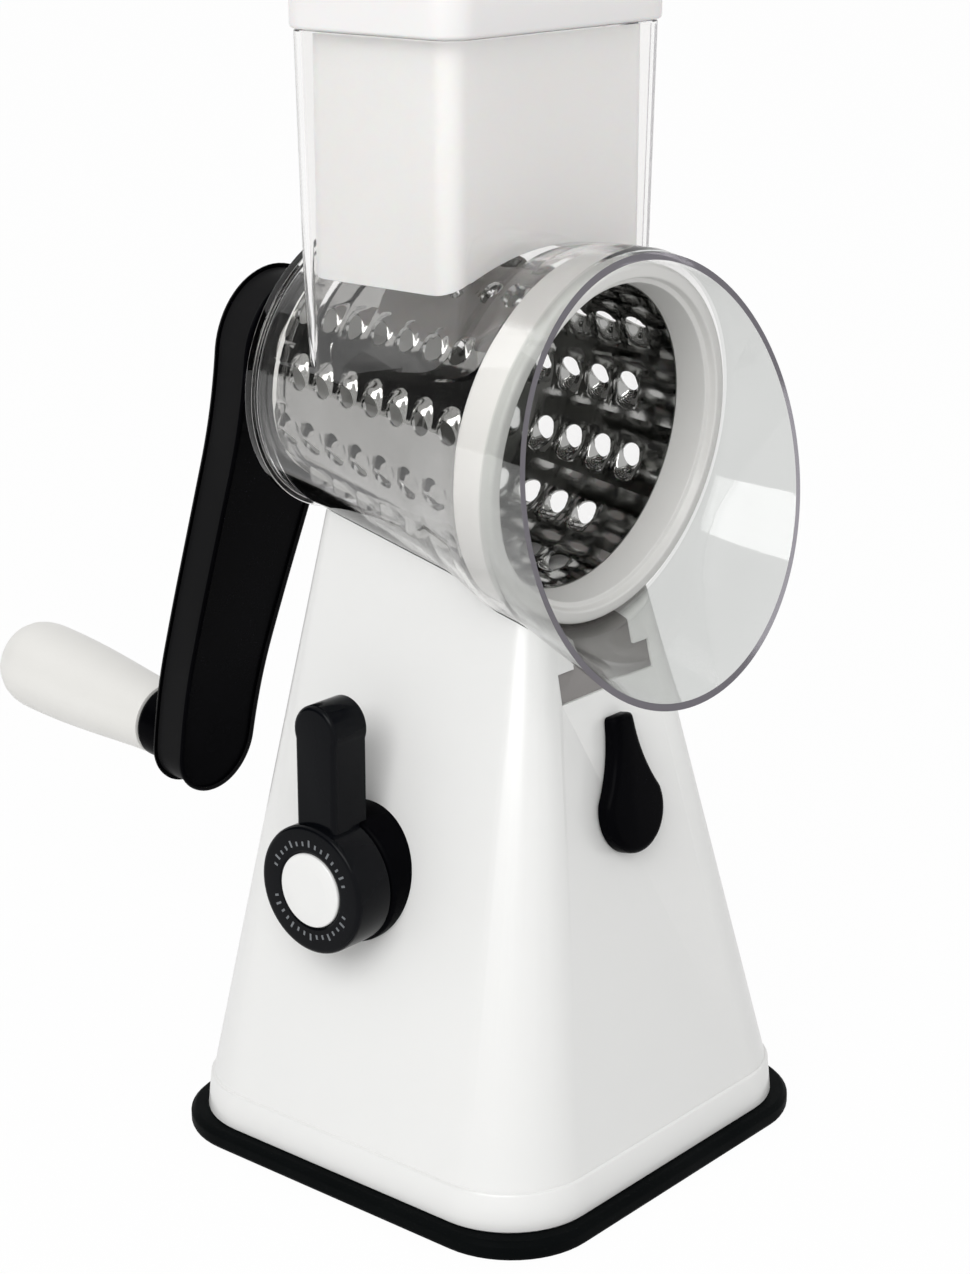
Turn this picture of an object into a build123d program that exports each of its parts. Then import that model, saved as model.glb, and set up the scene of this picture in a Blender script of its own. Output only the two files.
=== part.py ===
from build123d import *
import os
from math import atan2, cos, pi, radians, sin, tan

# A hand cranked drum shredder on a suction pedestal.
# Millimetres. +Z is up, the drum mouth and funnel look towards -Y, the crank is at the back (+Y)
# and the suction lever is on the left (-X) face. The origin is the centre of the underside.

# ---------------------------------------------------------------- clearances
SEAT_GAP = 0.2          # between curved faces that rest on each other
SLIDE_GAP = 0.3         # round pieces that slide
RUN_GAP = 0.05          # radial, shafts in bores
PRESS_GAP = 0.02        # radial, pieces fixed on each other

# ---------------------------------------------------------------- pedestal
BODY_HALF_LOW = 66.7    # where the tapered body starts, on top of the skirt
BODY_CORNER_LOW = 25.9
SKIRT_STEP = 0.7        # the skirt's top edge stands out from the body by this
SKIRT_FLARE = 0.8       # and its bottom edge from its top edge
SKIRT_HALF_HIGH = BODY_HALF_LOW + SKIRT_STEP
SKIRT_HALF_LOW = SKIRT_HALF_HIGH + SKIRT_FLARE
SKIRT_CORNER = BODY_CORNER_LOW + 0.5
SKIRT_TOP = 16.8
FOOT_LEDGE = 4.0        # the rubber foot stands out from the skirt
FOOT_HALF = SKIRT_HALF_LOW + FOOT_LEDGE
FOOT_CORNER = SKIRT_CORNER + SKIRT_STEP
FOOT_HEIGHT = 5.5
FOOT_BAND = 14.2        # from the foot's side to its round mouth
FOOT_MOUTH_RADIUS = FOOT_HALF - FOOT_BAND
FOOT_REBATE_RADIUS = FOOT_MOUTH_RADIUS + 4.0
FOOT_REBATE_DEPTH = 1.5
NECK_Z = 165.0          # height at which the four sizes below are given
NECK_HALF_X = 28.5
NECK_FRONT = 38.5
NECK_BACK = 48.1
NECK_CORNER = 7.7
BODY_TOP = 192.0        # the taper ends inside the barrel that lies on it
SHELL_WALL = 2.6

# ---------------------------------------------------------------- drum axis
AXIS_Z = 218.2          # height of the drum axis above the origin
AXIS_TILT = 6.0         # degrees, down towards the mouth

# ---------------------------------------------------------------- clear housing
HOUSING_WALL = 2.0
BARREL_BACK = -54.7     # stations are measured along the drum axis, forwards
BARREL_BACK_RADIUS = 41.2
BARREL_WAIST = 12.0
BARREL_WAIST_RADIUS = 48.0
BARREL_SHOULDER = 29.0
BARREL_SHOULDER_RADIUS = 53.2
BARREL_FRONT = 42.0
BARREL_FRONT_RADIUS = 54.6
BACK_WALL = 2.2
BACK_RIM_RADIUS = 43.1
BACK_RIM_WIDTH = 2.5
BOSS_RADIUS = 12.5
BOSS_LENGTH = 19.6
FUNNEL_RIM_RADIUS = 61.4
FUNNEL_RIM_Y = -62.1
FUNNEL_RIM_Z = 206.7
FUNNEL_RIM_TILT = 11.0  # degrees, the mouth looks up
CHUTE_HALF_X = 44.9     # outside, at CHUTE_WAIST
CHUTE_HALF_Y = 28.8
CHUTE_CENTRE_Y = 4.5
CHUTE_CORNER = 8.0
CHUTE_WAIST = 252.0
CHUTE_SPLIT = 270.0     # above the barrel's crown: the saddle ends and the straight chute starts
CHUTE_TOP = 323.5
CHUTE_DRAFT = 0.88      # degrees, wider towards the top
CHUTE_ROOT = 224.0
CHUTE_ROOT_HALF_X = 42.3
RAIL_HALF_WIDTH = 20.0
RAIL_HEIGHT = 8.0
RAIL_BOTTOM = 144.5
RAIL_NECK_HALF = 13.0
RAIL_BACK = 34.0
RAIL_INSET = 0.6        # behind the pedestal's front face

# ---------------------------------------------------------------- drum
DRUM_MID_RADIUS = 41.1  # outside, at station 0
DRUM_FLARE = 0.0926     # growth of the radius per millimetre forwards
DRUM_BACK = -48.0
DRUM_FRONT = 32.0
DRUM_SHEET = 0.8
TOOTH_ROWS = 13
TEETH_PER_ROW = 7
TOOTH_PITCH = 10.0
TOOTH_FIRST = -39.0     # of the even rows; the odd ones start half a pitch further back
TOOTH_RADIUS = 3.8
TOOTH_RISE = 1.2
TOOTH_ROOT = 2.4        # of a collar below the skin, before the bore is cut
TOOTH_HOLE_RADIUS = 3.2
TOOTH_LEAN = 16.0       # degrees, which lifts each collar on the side it cuts from
TOOTH_TURN = 117.0      # degrees, of the first row
RING_RADIUS = 50.6
RING_BACK = 30.6
RING_FRONT = 43.9
RING_MOUTH_RADIUS = 46.4
RING_THROAT_RADIUS = 43.4
RING_BAND = 2.2
RING_SLEEVE_BACK = 27.0
HUB_PLATE = 2.5
HUB_BOSS_RADIUS = 10.0
HUB_BOSS_LENGTH = 12.5

# ---------------------------------------------------------------- crank
SHAFT_RADIUS = 6.0
SHAFT_HEX = 9.0         # across flats
SHAFT_HEX_LENGTH = 11.0
BUSH_RADIUS = 9.0
BUSH_FLANGE_RADIUS = 12.0
ARM_LENGTH = 138.0      # drum axis to knob axis
ARM_HUB_RADIUS = 22.5
ARM_END_RADIUS = 16.5
ARM_THICKNESS = 13.6
ARM_OFFSET = 26.0       # how far the knob end stands further back than the hub
ARM_POCKET_RADIUS = 6.5
ARM_POCKET_DEPTH = 3.0
SCREW_HEAD_RADIUS = 5.5
SCREW_HEAD_HEIGHT = 2.4
SCREW_SHANK_RADIUS = 2.0
SCREW_LENGTH = 12.0
PIN_RADIUS = 3.5
PIN_LENGTH = 66.0
COLLAR_RADIUS = 12.0
COLLAR_LENGTH = 12.0
KNOB_LENGTH = 71.5
KNOB_NEAR_RADIUS = 11.9
KNOB_MAX_RADIUS = 15.0
KNOB_END_RADIUS = 10.4

# ---------------------------------------------------------------- pusher
PUSHER_GAP = 1.5        # to the chute's inside at its waist
PUSHER_CORNER = 6.0
PUSHER_WALL = 2.0
PUSHER_LOW = 257.4
PUSHER_ARCH_TOP = 266.2
PUSHER_FLOOR = 2.4
CAP_OVERHANG = 1.1
CAP_HEIGHT = 12.0
CAP_PLUG_DEPTH = 7.0
CAP_WALL = 2.4
CAP_CORNER = 9.0

# ---------------------------------------------------------------- suction lever and lift
LEVER_Y = 9.0
LEVER_Z = 91.0
LEVER_FRONT = 68.0      # distance of each face from the object's middle plane
LEVER_BACK = 55.0
LEVER_HUB_RADIUS = 18.8
LEVER_ARM_FRONT = 65.4
LEVER_ARM_BACK = 52.0
LEVER_ARM_HALF = 7.3
LEVER_HEAD_RADIUS = 7.9
LEVER_LENGTH = 53.5
LEVER_SWEEP = 90.0      # degrees
CAP_DISC_RADIUS = 10.8
CAP_DISC_HEIGHT = 1.6
CAP_DISC_RAISE = 0.7
BOSS_DISC_RADIUS = 19.5
BOSS_DISC_GAP = 0.4
SPIGOT_RADIUS = 9.0
SPIGOT_INNER = 38.0
LEVER_SHAFT_RADIUS = 4.0
CAM_RADIUS = 11.0       # lift height of the cam's low point
CAM_CORE_RADIUS = 9.0
CAM_WIDTH = 6.0
CAM_MARGIN = 10.0       # degrees of profile beyond each end of the sweep
ROD_LIFT = 4.0
ROD_RADIUS = 2.5
ROD_FOOT_Z = 2.4
ROD_FOOT_RADIUS = 6.5
ROD_FOOT_THICKNESS = 1.5
ROD_COLLAR_Z = 11.0
ROD_COLLAR_RADIUS = 8.0
ROD_COLLAR_THICKNESS = 2.0
YOKE_THICKNESS = 8.0
YOKE_BAR = 5.0
YOKE_WINDOW_HALF = 17.0
YOKE_WINDOW_LOW = 76.0
YOKE_FOOT = 66.0
SPRING_RADIUS = 7.2
SPRING_INNER_RADIUS = 4.2
TOWER_RADIUS = 12.0
TOWER_BORE_RADIUS = 9.2
TOWER_TOP = 44.0
TOWER_ROOF = 3.0
PLATE_THICKNESS = 4.1
PLATE_WEB = 2.1
PLATE_WEB_RADIUS = FOOT_MOUTH_RADIUS - 8.0
PLATE_INSET = 1.0
POST_PLACE = BODY_HALF_LOW - 18.7
POST_RADIUS = 4.2
POST_TOP = 90.0
PLATE_SCREW_RADIUS = 1.6
PLATE_SCREW_LENGTH = 16.0
PLATE_SCREW_HEAD_RADIUS = 3.2
PLATE_SCREW_HEAD_HEIGHT = 2.0
BRACKET_X = 14.0
BRACKET_THICKNESS = 3.0
BRACKET_HALF_WIDTH = 12.0
BRACKET_FOOT = 13.0
MEMBRANE_THICKNESS = 1.8
MEMBRANE_FLAT_RADIUS = FOOT_MOUTH_RADIUS - 8.0
MEMBRANE_BOSS_RADIUS = 8.7
MEMBRANE_BOSS_TOP = 4.8
MEMBRANE_RIM_INNER = FOOT_MOUTH_RADIUS - 2.0

# ---------------------------------------------------------------- latch
LATCH_Z = 110.0
LATCH_BULB_RADIUS = 12.6
LATCH_TIP_HALF = 4.3
LATCH_TIP_RISE = 27.3
LATCH_WAIST_HALF = 6.5
LATCH_WAIST_RISE = 15.0
LATCH_SHOULDER = 19.2   # degrees above the bulb's widest line, where the flank leaves it
LATCH_THICKNESS = 5.0
LATCH_SWEEP = 90.0      # degrees
STEM_RADIUS = 4.0
STEM_LENGTH = 24.0
CLIP_RADIUS = 7.0
CLIP_THICKNESS = 1.2
LATCH_CAM_RADIUS = 10.0
LATCH_CAM_CORE = 4.6
LATCH_CAM_WIDTH = 6.0
BOLT_TRAVEL = 4.4
BOLT_HALF = 4.0
BOLT_DEPTH = 19.0       # behind the front face, at the latch
BOLT_ENGAGE = 3.6
GUIDE_WALL = 3.0
GUIDE_LENGTH = 16.0


# ================================================================ frames and helpers
def axis_plane(station):
    """The plane square to the drum axis at a station; its y points up, its z to the mouth."""
    tilt = radians(AXIS_TILT)
    origin = (0, -station * cos(tilt), AXIS_Z - station * sin(tilt))
    return Plane(origin=origin, x_dir=(1, 0, 0), z_dir=(0, -cos(tilt), -sin(tilt)))


def turned(points):
    """A solid of revolution about Z from (radius, height) points."""
    outline = Polyline(*points, close=True)
    return revolve(Plane.XZ * make_face(outline), Axis.Z)


def turned_on_axis(points):
    """The same, laid on the drum axis."""
    return axis_plane(0) * turned(points)


def tube(outer, inner, low, high):
    """A plain ring along Z."""
    return turned([(inner, low), (outer, low), (outer, high), (inner, high)])


def rod_solid(radius, low, high):
    """A plain bar along Z."""
    return Pos(0, 0, (low + high) / 2) * Cylinder(radius, high - low)


def block(x_low, x_high, y_low, y_high, z_low, z_high):
    size = (x_high - x_low, y_high - y_low, z_high - z_low)
    middle = ((x_low + x_high) / 2, (y_low + y_high) / 2, (z_low + z_high) / 2)
    return Pos(*middle) * Box(*size)


def rounded_face(half_x, front, back, corner, z):
    face = RectangleRounded(2 * half_x, back - front, corner)
    return Pos(0, (front + back) / 2, z) * face


def snail_face(radius, rise, core, low_turn, high_turn):
    """A cam for a flat follower above it: its reach grows by rise (per radian of turn)."""
    points = [(0, 0)]
    steps = 24
    for step in range(steps + 1):
        turn = radians(low_turn + (high_turn - low_turn) * step / steps)
        reach = radius + rise * turn
        angle = pi / 2 + turn
        across = reach * cos(angle) - rise * sin(angle)
        up = reach * sin(angle) + rise * cos(angle)
        points.append((across, up))
    return make_face(Polyline(*points, close=True)) + Circle(core)


# ================================================================ pedestal
def taper(z):
    """How far up the taper a height is: 0 on the skirt, 1 at the neck."""
    return (z - SKIRT_TOP) / (NECK_Z - SKIRT_TOP)


def body_face(z, inset):
    share = taper(z)
    half_x = BODY_HALF_LOW + (NECK_HALF_X - BODY_HALF_LOW) * share - inset
    front = BODY_HALF_LOW + (NECK_FRONT - BODY_HALF_LOW) * share - inset
    back = BODY_HALF_LOW + (NECK_BACK - BODY_HALF_LOW) * share - inset
    corner = BODY_CORNER_LOW + (NECK_CORNER - BODY_CORNER_LOW) * share - inset
    return rounded_face(half_x, -front, back, corner, z)


def body_solid(inset):
    return loft([body_face(SKIRT_TOP, inset), body_face(BODY_TOP, inset)])


FRONT_SLOPE = (BODY_HALF_LOW - NECK_FRONT) / (NECK_Z - SKIRT_TOP)
LATCH_Y = -(BODY_HALF_LOW - (LATCH_Z - SKIRT_TOP) * FRONT_SLOPE)
FRONT_ANGLE = atan2(FRONT_SLOPE, 1)
LATCH_PLANE = Plane(
    origin=(0, LATCH_Y, LATCH_Z),
    x_dir=(1, 0, 0),
    z_dir=(0, -cos(FRONT_ANGLE), sin(FRONT_ANGLE)),
)
LEVER_PLANE = Plane(origin=(0, LEVER_Y, LEVER_Z), x_dir=(0, -1, 0), z_dir=(-1, 0, 0))
FOOT_TOP = FOOT_HEIGHT
PLATE_TOP = FOOT_TOP + PLATE_THICKNESS
RAIL_TOP = RAIL_BOTTOM + RAIL_HEIGHT


def barrel_cutter(grow):
    """What the barrel and the root of the funnel take up, grown by a clearance."""
    ahead = 18.0
    return turned_on_axis([
        (0, BARREL_BACK - ahead),
        (BARREL_BACK_RADIUS + grow, BARREL_BACK - ahead),
        (BARREL_BACK_RADIUS + grow, BARREL_BACK),
        (BARREL_WAIST_RADIUS + grow, BARREL_WAIST),
        (BARREL_SHOULDER_RADIUS + grow, BARREL_SHOULDER),
        (BARREL_FRONT_RADIUS + grow, BARREL_FRONT),
        (BARREL_FRONT_RADIUS + grow + ahead * 0.3, BARREL_FRONT + ahead),
        (0, BARREL_FRONT + ahead),
    ])


def rail_slot():
    """The T slot that the housing's foot slides into from the front."""
    far = 2 * FOOT_HALF
    ears = RAIL_HALF_WIDTH + SLIDE_GAP
    neck = RAIL_NECK_HALF + SLIDE_GAP
    back = RAIL_BACK + SLIDE_GAP
    low = RAIL_BOTTOM - SEAT_GAP
    wide = block(-ears, ears, -far, back, low, RAIL_TOP + SLIDE_GAP)
    narrow = block(-neck, neck, -far, back, low, BODY_TOP + SHELL_WALL)
    return wide + narrow


def slot_walls():
    """The channel round the T slot, before the slot is cut."""
    side = RAIL_HALF_WIDTH + SLIDE_GAP + SHELL_WALL
    back = RAIL_BACK + SLIDE_GAP + SHELL_WALL
    return block(-side, side, -FOOT_HALF, back, RAIL_BOTTOM - SEAT_GAP - SHELL_WALL, BODY_TOP)


def post_places():
    return [(x, y) for x in (-POST_PLACE, POST_PLACE) for y in (-POST_PLACE, POST_PLACE)]


def bolt_guide():
    """The block on the front wall that the latch bolt slides in."""
    half = BOLT_HALF + SLIDE_GAP + GUIDE_WALL
    top = (RAIL_BOTTOM - LATCH_Z) / cos(FRONT_ANGLE) + BOLT_DEPTH * tan(FRONT_ANGLE)
    depth = BOLT_DEPTH + half
    return LATCH_PLANE * block(-half, half, top - GUIDE_LENGTH, top, -depth, -SHELL_WALL / 2)


def bolt_hole():
    half = BOLT_HALF + SLIDE_GAP
    far = RAIL_TOP - LATCH_Z + RAIL_HEIGHT
    deep = -BOLT_DEPTH - half
    shallow = -BOLT_DEPTH + half
    return LATCH_PLANE * block(-half, half, LATCH_CAM_RADIUS, far, deep, shallow)


def make_base_shell():
    skirt = loft([
        rounded_face(SKIRT_HALF_LOW, -SKIRT_HALF_LOW, SKIRT_HALF_LOW, SKIRT_CORNER, FOOT_TOP),
        rounded_face(SKIRT_HALF_HIGH, -SKIRT_HALF_HIGH, SKIRT_HALF_HIGH, SKIRT_CORNER, SKIRT_TOP),
    ])
    outside = skirt + body_solid(0) - barrel_cutter(SEAT_GAP)
    hollow = body_solid(SHELL_WALL)
    inner = body_face(SKIRT_TOP, SHELL_WALL)
    hollow += extrude(inner, FOOT_TOP - SKIRT_TOP)
    hollow -= barrel_cutter(SEAT_GAP + SHELL_WALL)
    hollow -= slot_walls()
    hollow -= bolt_guide()
    for x, y in post_places():
        hollow -= Pos(x, y) * rod_solid(POST_RADIUS, PLATE_TOP, POST_TOP)
    shell = outside - hollow - rail_slot() - bolt_hole()
    for x, y in post_places():
        top = PLATE_TOP + PLATE_SCREW_LENGTH
        shell -= Pos(x, y) * rod_solid(PLATE_SCREW_RADIUS + PRESS_GAP, FOOT_TOP, top)
    lever_hole = LEVER_PLANE * rod_solid(SPIGOT_RADIUS + PRESS_GAP, SPIGOT_INNER / 2, LEVER_FRONT)
    stem_hole = LATCH_PLANE * rod_solid(STEM_RADIUS + RUN_GAP, -STEM_LENGTH, LATCH_THICKNESS)
    return shell - lever_hole - stem_hole


def make_rubber_foot():
    outline = rounded_face(FOOT_HALF, -FOOT_HALF, FOOT_HALF, FOOT_CORNER, 0)
    foot = extrude(outline, FOOT_HEIGHT)
    mouth = rod_solid(FOOT_MOUTH_RADIUS, 0, FOOT_HEIGHT)
    rebate = rod_solid(FOOT_REBATE_RADIUS, FOOT_HEIGHT - FOOT_REBATE_DEPTH, FOOT_HEIGHT)
    return foot - mouth - rebate


def make_suction_membrane():
    """A soft disc: rim in the foot's rebate, a dish down to the table and a boss on the rod."""
    rim = FOOT_REBATE_RADIUS - SEAT_GAP
    shelf = FOOT_HEIGHT - FOOT_REBATE_DEPTH
    disc = turned([
        (0, 0),
        (MEMBRANE_FLAT_RADIUS, 0),
        (MEMBRANE_RIM_INNER, shelf),
        (rim, shelf),
        (rim, FOOT_HEIGHT),
        (MEMBRANE_RIM_INNER - MEMBRANE_THICKNESS, FOOT_HEIGHT),
        (MEMBRANE_FLAT_RADIUS - MEMBRANE_THICKNESS, MEMBRANE_THICKNESS),
        (MEMBRANE_BOSS_RADIUS, MEMBRANE_THICKNESS),
        (MEMBRANE_BOSS_RADIUS, MEMBRANE_BOSS_TOP),
        (0, MEMBRANE_BOSS_TOP),
    ])
    foot_top = ROD_FOOT_Z + ROD_FOOT_THICKNESS
    pocket = rod_solid(ROD_FOOT_RADIUS + PRESS_GAP, ROD_FOOT_Z, foot_top)
    neck = rod_solid(ROD_RADIUS + PRESS_GAP, foot_top, MEMBRANE_BOSS_TOP)
    return disc - pocket - neck


def make_base_plate():
    half = BODY_HALF_LOW - SHELL_WALL - PLATE_INSET
    corner = BODY_CORNER_LOW - SHELL_WALL - PLATE_INSET
    plate = extrude(rounded_face(half, -half, half, corner, FOOT_TOP), PLATE_THICKNESS)
    plate += rod_solid(TOWER_RADIUS, FOOT_TOP, TOWER_TOP)
    plate -= rod_solid(PLATE_WEB_RADIUS, FOOT_TOP, PLATE_TOP - PLATE_WEB)
    plate -= rod_solid(TOWER_BORE_RADIUS, FOOT_TOP, TOWER_TOP - TOWER_ROOF)
    plate -= rod_solid(ROD_RADIUS + RUN_GAP, FOOT_TOP, TOWER_TOP)
    for x, y in post_places():
        plate -= Pos(x, y) * rod_solid(PLATE_SCREW_RADIUS + PRESS_GAP, FOOT_TOP, PLATE_TOP)
        head_top = FOOT_TOP + PLATE_SCREW_HEAD_HEIGHT
        plate -= Pos(x, y) * rod_solid(PLATE_SCREW_HEAD_RADIUS + PRESS_GAP, FOOT_TOP, head_top)
    return plate


def make_plate_screws():
    screws = []
    for x, y in post_places():
        head_top = FOOT_TOP + PLATE_SCREW_HEAD_HEIGHT
        head = rod_solid(PLATE_SCREW_HEAD_RADIUS, FOOT_TOP, head_top)
        shank = rod_solid(PLATE_SCREW_RADIUS, FOOT_TOP, FOOT_TOP + PLATE_SCREW_LENGTH)
        screws.append(Pos(x, y) * (head + shank))
    return Compound(screws)


def make_cam_bracket():
    """The upright that carries the inner end of the lever shaft."""
    top = LEVER_Z + BRACKET_HALF_WIDTH
    low_y = LEVER_Y - BRACKET_HALF_WIDTH
    high_y = LEVER_Y + BRACKET_HALF_WIDTH
    far_x = BRACKET_X + BRACKET_THICKNESS
    upright = block(BRACKET_X, far_x, low_y, high_y, PLATE_TOP, top)
    foot_top = PLATE_TOP + BRACKET_THICKNESS
    foot = block(BRACKET_X, far_x + BRACKET_FOOT, low_y, high_y, PLATE_TOP, foot_top)
    bore = LEVER_PLANE * rod_solid(LEVER_SHAFT_RADIUS + RUN_GAP, -2 * far_x, 0)
    return upright + foot - bore


# ================================================================ suction lift
def make_pull_rod():
    return rod_solid(ROD_RADIUS, ROD_FOOT_Z + ROD_FOOT_THICKNESS, YOKE_FOOT + YOKE_BAR)


def make_rod_foot():
    return rod_solid(ROD_FOOT_RADIUS, ROD_FOOT_Z, ROD_FOOT_Z + ROD_FOOT_THICKNESS)


def make_rod_collar():
    top = ROD_COLLAR_Z + ROD_COLLAR_THICKNESS
    return tube(ROD_COLLAR_RADIUS, ROD_RADIUS + PRESS_GAP, ROD_COLLAR_Z, top)


def make_return_spring():
    low = ROD_COLLAR_Z + ROD_COLLAR_THICKNESS + SEAT_GAP
    high = TOWER_TOP - TOWER_ROOF - SEAT_GAP
    return tube(SPRING_RADIUS, SPRING_INNER_RADIUS, low, high)


def make_lift_yoke():
    """A frame round the cam; its top bar is the flat follower."""
    half_x = YOKE_THICKNESS / 2
    low_y = LEVER_Y - YOKE_WINDOW_HALF
    high_y = LEVER_Y + YOKE_WINDOW_HALF
    follower = LEVER_Z + CAM_RADIUS + SLIDE_GAP
    frame = block(
        -half_x, half_x, low_y - YOKE_BAR, high_y + YOKE_BAR, YOKE_FOOT, follower + YOKE_BAR
    )
    window = block(-half_x, half_x, low_y, high_y, YOKE_WINDOW_LOW, follower)
    socket = rod_solid(ROD_RADIUS + PRESS_GAP, YOKE_FOOT, YOKE_FOOT + YOKE_BAR)
    return frame - window - socket


def make_lift_cam():
    rise = ROD_LIFT / radians(LEVER_SWEEP)
    face = snail_face(CAM_RADIUS, rise, CAM_CORE_RADIUS, -CAM_MARGIN, LEVER_SWEEP + CAM_MARGIN)
    face -= Circle(LEVER_SHAFT_RADIUS + PRESS_GAP)
    return LEVER_PLANE * Pos(0, 0, -CAM_WIDTH / 2) * extrude(face, CAM_WIDTH)


def make_lever_shaft():
    inner = -(BRACKET_X + BRACKET_THICKNESS + 1.5)
    outer = LEVER_FRONT - CAP_DISC_HEIGHT - SCREW_HEAD_HEIGHT
    shaft = rod_solid(LEVER_SHAFT_RADIUS, inner, outer)
    shaft -= rod_solid(SCREW_SHANK_RADIUS, outer - SCREW_LENGTH, outer)
    return LEVER_PLANE * shaft


def make_lever_boss():
    """The black disc that stands on the sloping face and carries the lever shaft."""
    outer = LEVER_BACK - BOSS_DISC_GAP
    disc = LEVER_PLANE * rod_solid(BOSS_DISC_RADIUS, SPIGOT_INNER / 2, outer)
    disc -= body_solid(-PRESS_GAP)
    spigot = LEVER_PLANE * rod_solid(SPIGOT_RADIUS, SPIGOT_INNER, outer)
    bore = LEVER_PLANE * rod_solid(LEVER_SHAFT_RADIUS + RUN_GAP, 0, LEVER_FRONT)
    return disc + spigot - bore


def make_suction_lever():
    hub = rod_solid(LEVER_HUB_RADIUS, LEVER_BACK, LEVER_FRONT)
    head_up = LEVER_LENGTH - LEVER_HEAD_RADIUS
    arm_face = Pos(0, head_up / 2) * Rectangle(2 * LEVER_ARM_HALF, head_up)
    arm_face += Pos(0, head_up) * Circle(LEVER_HEAD_RADIUS)
    arm = Pos(0, 0, LEVER_ARM_BACK) * extrude(arm_face, LEVER_ARM_FRONT - LEVER_ARM_BACK)
    arm -= rod_solid(BOSS_DISC_RADIUS + SLIDE_GAP, 0, LEVER_BACK)
    lever = hub + arm
    screw_seat = LEVER_FRONT - CAP_DISC_HEIGHT
    head_seat = screw_seat - SCREW_HEAD_HEIGHT
    lever -= rod_solid(CAP_DISC_RADIUS + PRESS_GAP, screw_seat, LEVER_FRONT)
    lever -= rod_solid(SCREW_HEAD_RADIUS + PRESS_GAP, head_seat, LEVER_FRONT)
    lever -= rod_solid(LEVER_SHAFT_RADIUS + PRESS_GAP, 0, LEVER_FRONT)
    return LEVER_PLANE * lever


def make_lever_cap():
    low = LEVER_FRONT - CAP_DISC_HEIGHT
    return LEVER_PLANE * rod_solid(CAP_DISC_RADIUS, low, LEVER_FRONT + CAP_DISC_RAISE)


def screw(radius, height, shank, length):
    """A screw with the underside of its head at 0 and its shank downwards."""
    return rod_solid(radius, 0, height) + rod_solid(shank, -length, 0)


def make_lever_screw():
    seat = LEVER_FRONT - CAP_DISC_HEIGHT - SCREW_HEAD_HEIGHT
    body = screw(SCREW_HEAD_RADIUS, SCREW_HEAD_HEIGHT, SCREW_SHANK_RADIUS - PRESS_GAP,
                 SCREW_LENGTH - PRESS_GAP)
    return LEVER_PLANE * Pos(0, 0, seat) * body


# ================================================================ housing latch
def teardrop_face():
    shoulder = radians(LATCH_SHOULDER)
    side_x = LATCH_BULB_RADIUS * cos(shoulder)
    side_y = LATCH_BULB_RADIUS * sin(shoulder)
    tip_left = (-LATCH_TIP_HALF, LATCH_TIP_RISE)
    tip_right = (LATCH_TIP_HALF, LATCH_TIP_RISE)
    outline = Wire([
        Line(tip_left, tip_right),
        ThreePointArc(tip_right, (LATCH_WAIST_HALF, LATCH_WAIST_RISE), (side_x, side_y)),
        ThreePointArc((side_x, side_y), (0, -LATCH_BULB_RADIUS), (-side_x, side_y)),
        ThreePointArc((-side_x, side_y), (-LATCH_WAIST_HALF, LATCH_WAIST_RISE), tip_left),
    ])
    return Face(outline)


def make_latch_knob():
    knob = Pos(0, 0, SLIDE_GAP) * extrude(teardrop_face(), LATCH_THICKNESS, dir=(0, 0, 1))
    bore = rod_solid(STEM_RADIUS + PRESS_GAP, 0, LATCH_THICKNESS / 2)
    return LATCH_PLANE * (knob - bore)


def make_latch_stem():
    stem = rod_solid(STEM_RADIUS, -STEM_LENGTH, LATCH_THICKNESS / 2)
    return LATCH_PLANE * stem


def make_latch_clip():
    top = -SHELL_WALL - SLIDE_GAP
    return LATCH_PLANE * tube(CLIP_RADIUS, STEM_RADIUS + PRESS_GAP, top - CLIP_THICKNESS, top)


def make_latch_cam():
    rise = -BOLT_TRAVEL / radians(LATCH_SWEEP)
    face = snail_face(LATCH_CAM_RADIUS, rise, LATCH_CAM_CORE, -CAM_MARGIN,
                      LATCH_SWEEP + CAM_MARGIN)
    face += Circle(LATCH_CAM_CORE)
    face -= Circle(STEM_RADIUS + PRESS_GAP)
    low = -BOLT_DEPTH - LATCH_CAM_WIDTH / 2
    return LATCH_PLANE * Pos(0, 0, low) * extrude(face, LATCH_CAM_WIDTH)


def bolt_top():
    """Height of the rail's underside in the latch plane, at the bolt."""
    return (RAIL_BOTTOM - LATCH_Z + BOLT_DEPTH * sin(FRONT_ANGLE)) / cos(FRONT_ANGLE)


def make_latch_bolt():
    low = LATCH_CAM_RADIUS + SLIDE_GAP
    high = bolt_top() + BOLT_ENGAGE
    deep = -BOLT_DEPTH - BOLT_HALF
    return LATCH_PLANE * block(-BOLT_HALF, BOLT_HALF, low, high, deep, deep + 2 * BOLT_HALF)


# ================================================================ clear housing
def barrel(inset, back):
    """The barrel as a solid, drawn in by a wall and starting at a station."""
    return turned_on_axis([
        (0, back),
        (BARREL_BACK_RADIUS - inset, back),
        (BARREL_WAIST_RADIUS - inset, BARREL_WAIST),
        (BARREL_SHOULDER_RADIUS - inset, BARREL_SHOULDER),
        (BARREL_FRONT_RADIUS - inset, BARREL_FRONT),
        (0, BARREL_FRONT),
    ])


def chute_face(z, inset):
    grow = (z - CHUTE_WAIST) * tan(radians(CHUTE_DRAFT))
    half_x = CHUTE_HALF_X + grow - inset
    half_y = CHUTE_HALF_Y + grow - inset
    front = CHUTE_CENTRE_Y - half_y
    return rounded_face(half_x, front, front + 2 * half_y, CHUTE_CORNER - inset, z)


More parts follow.
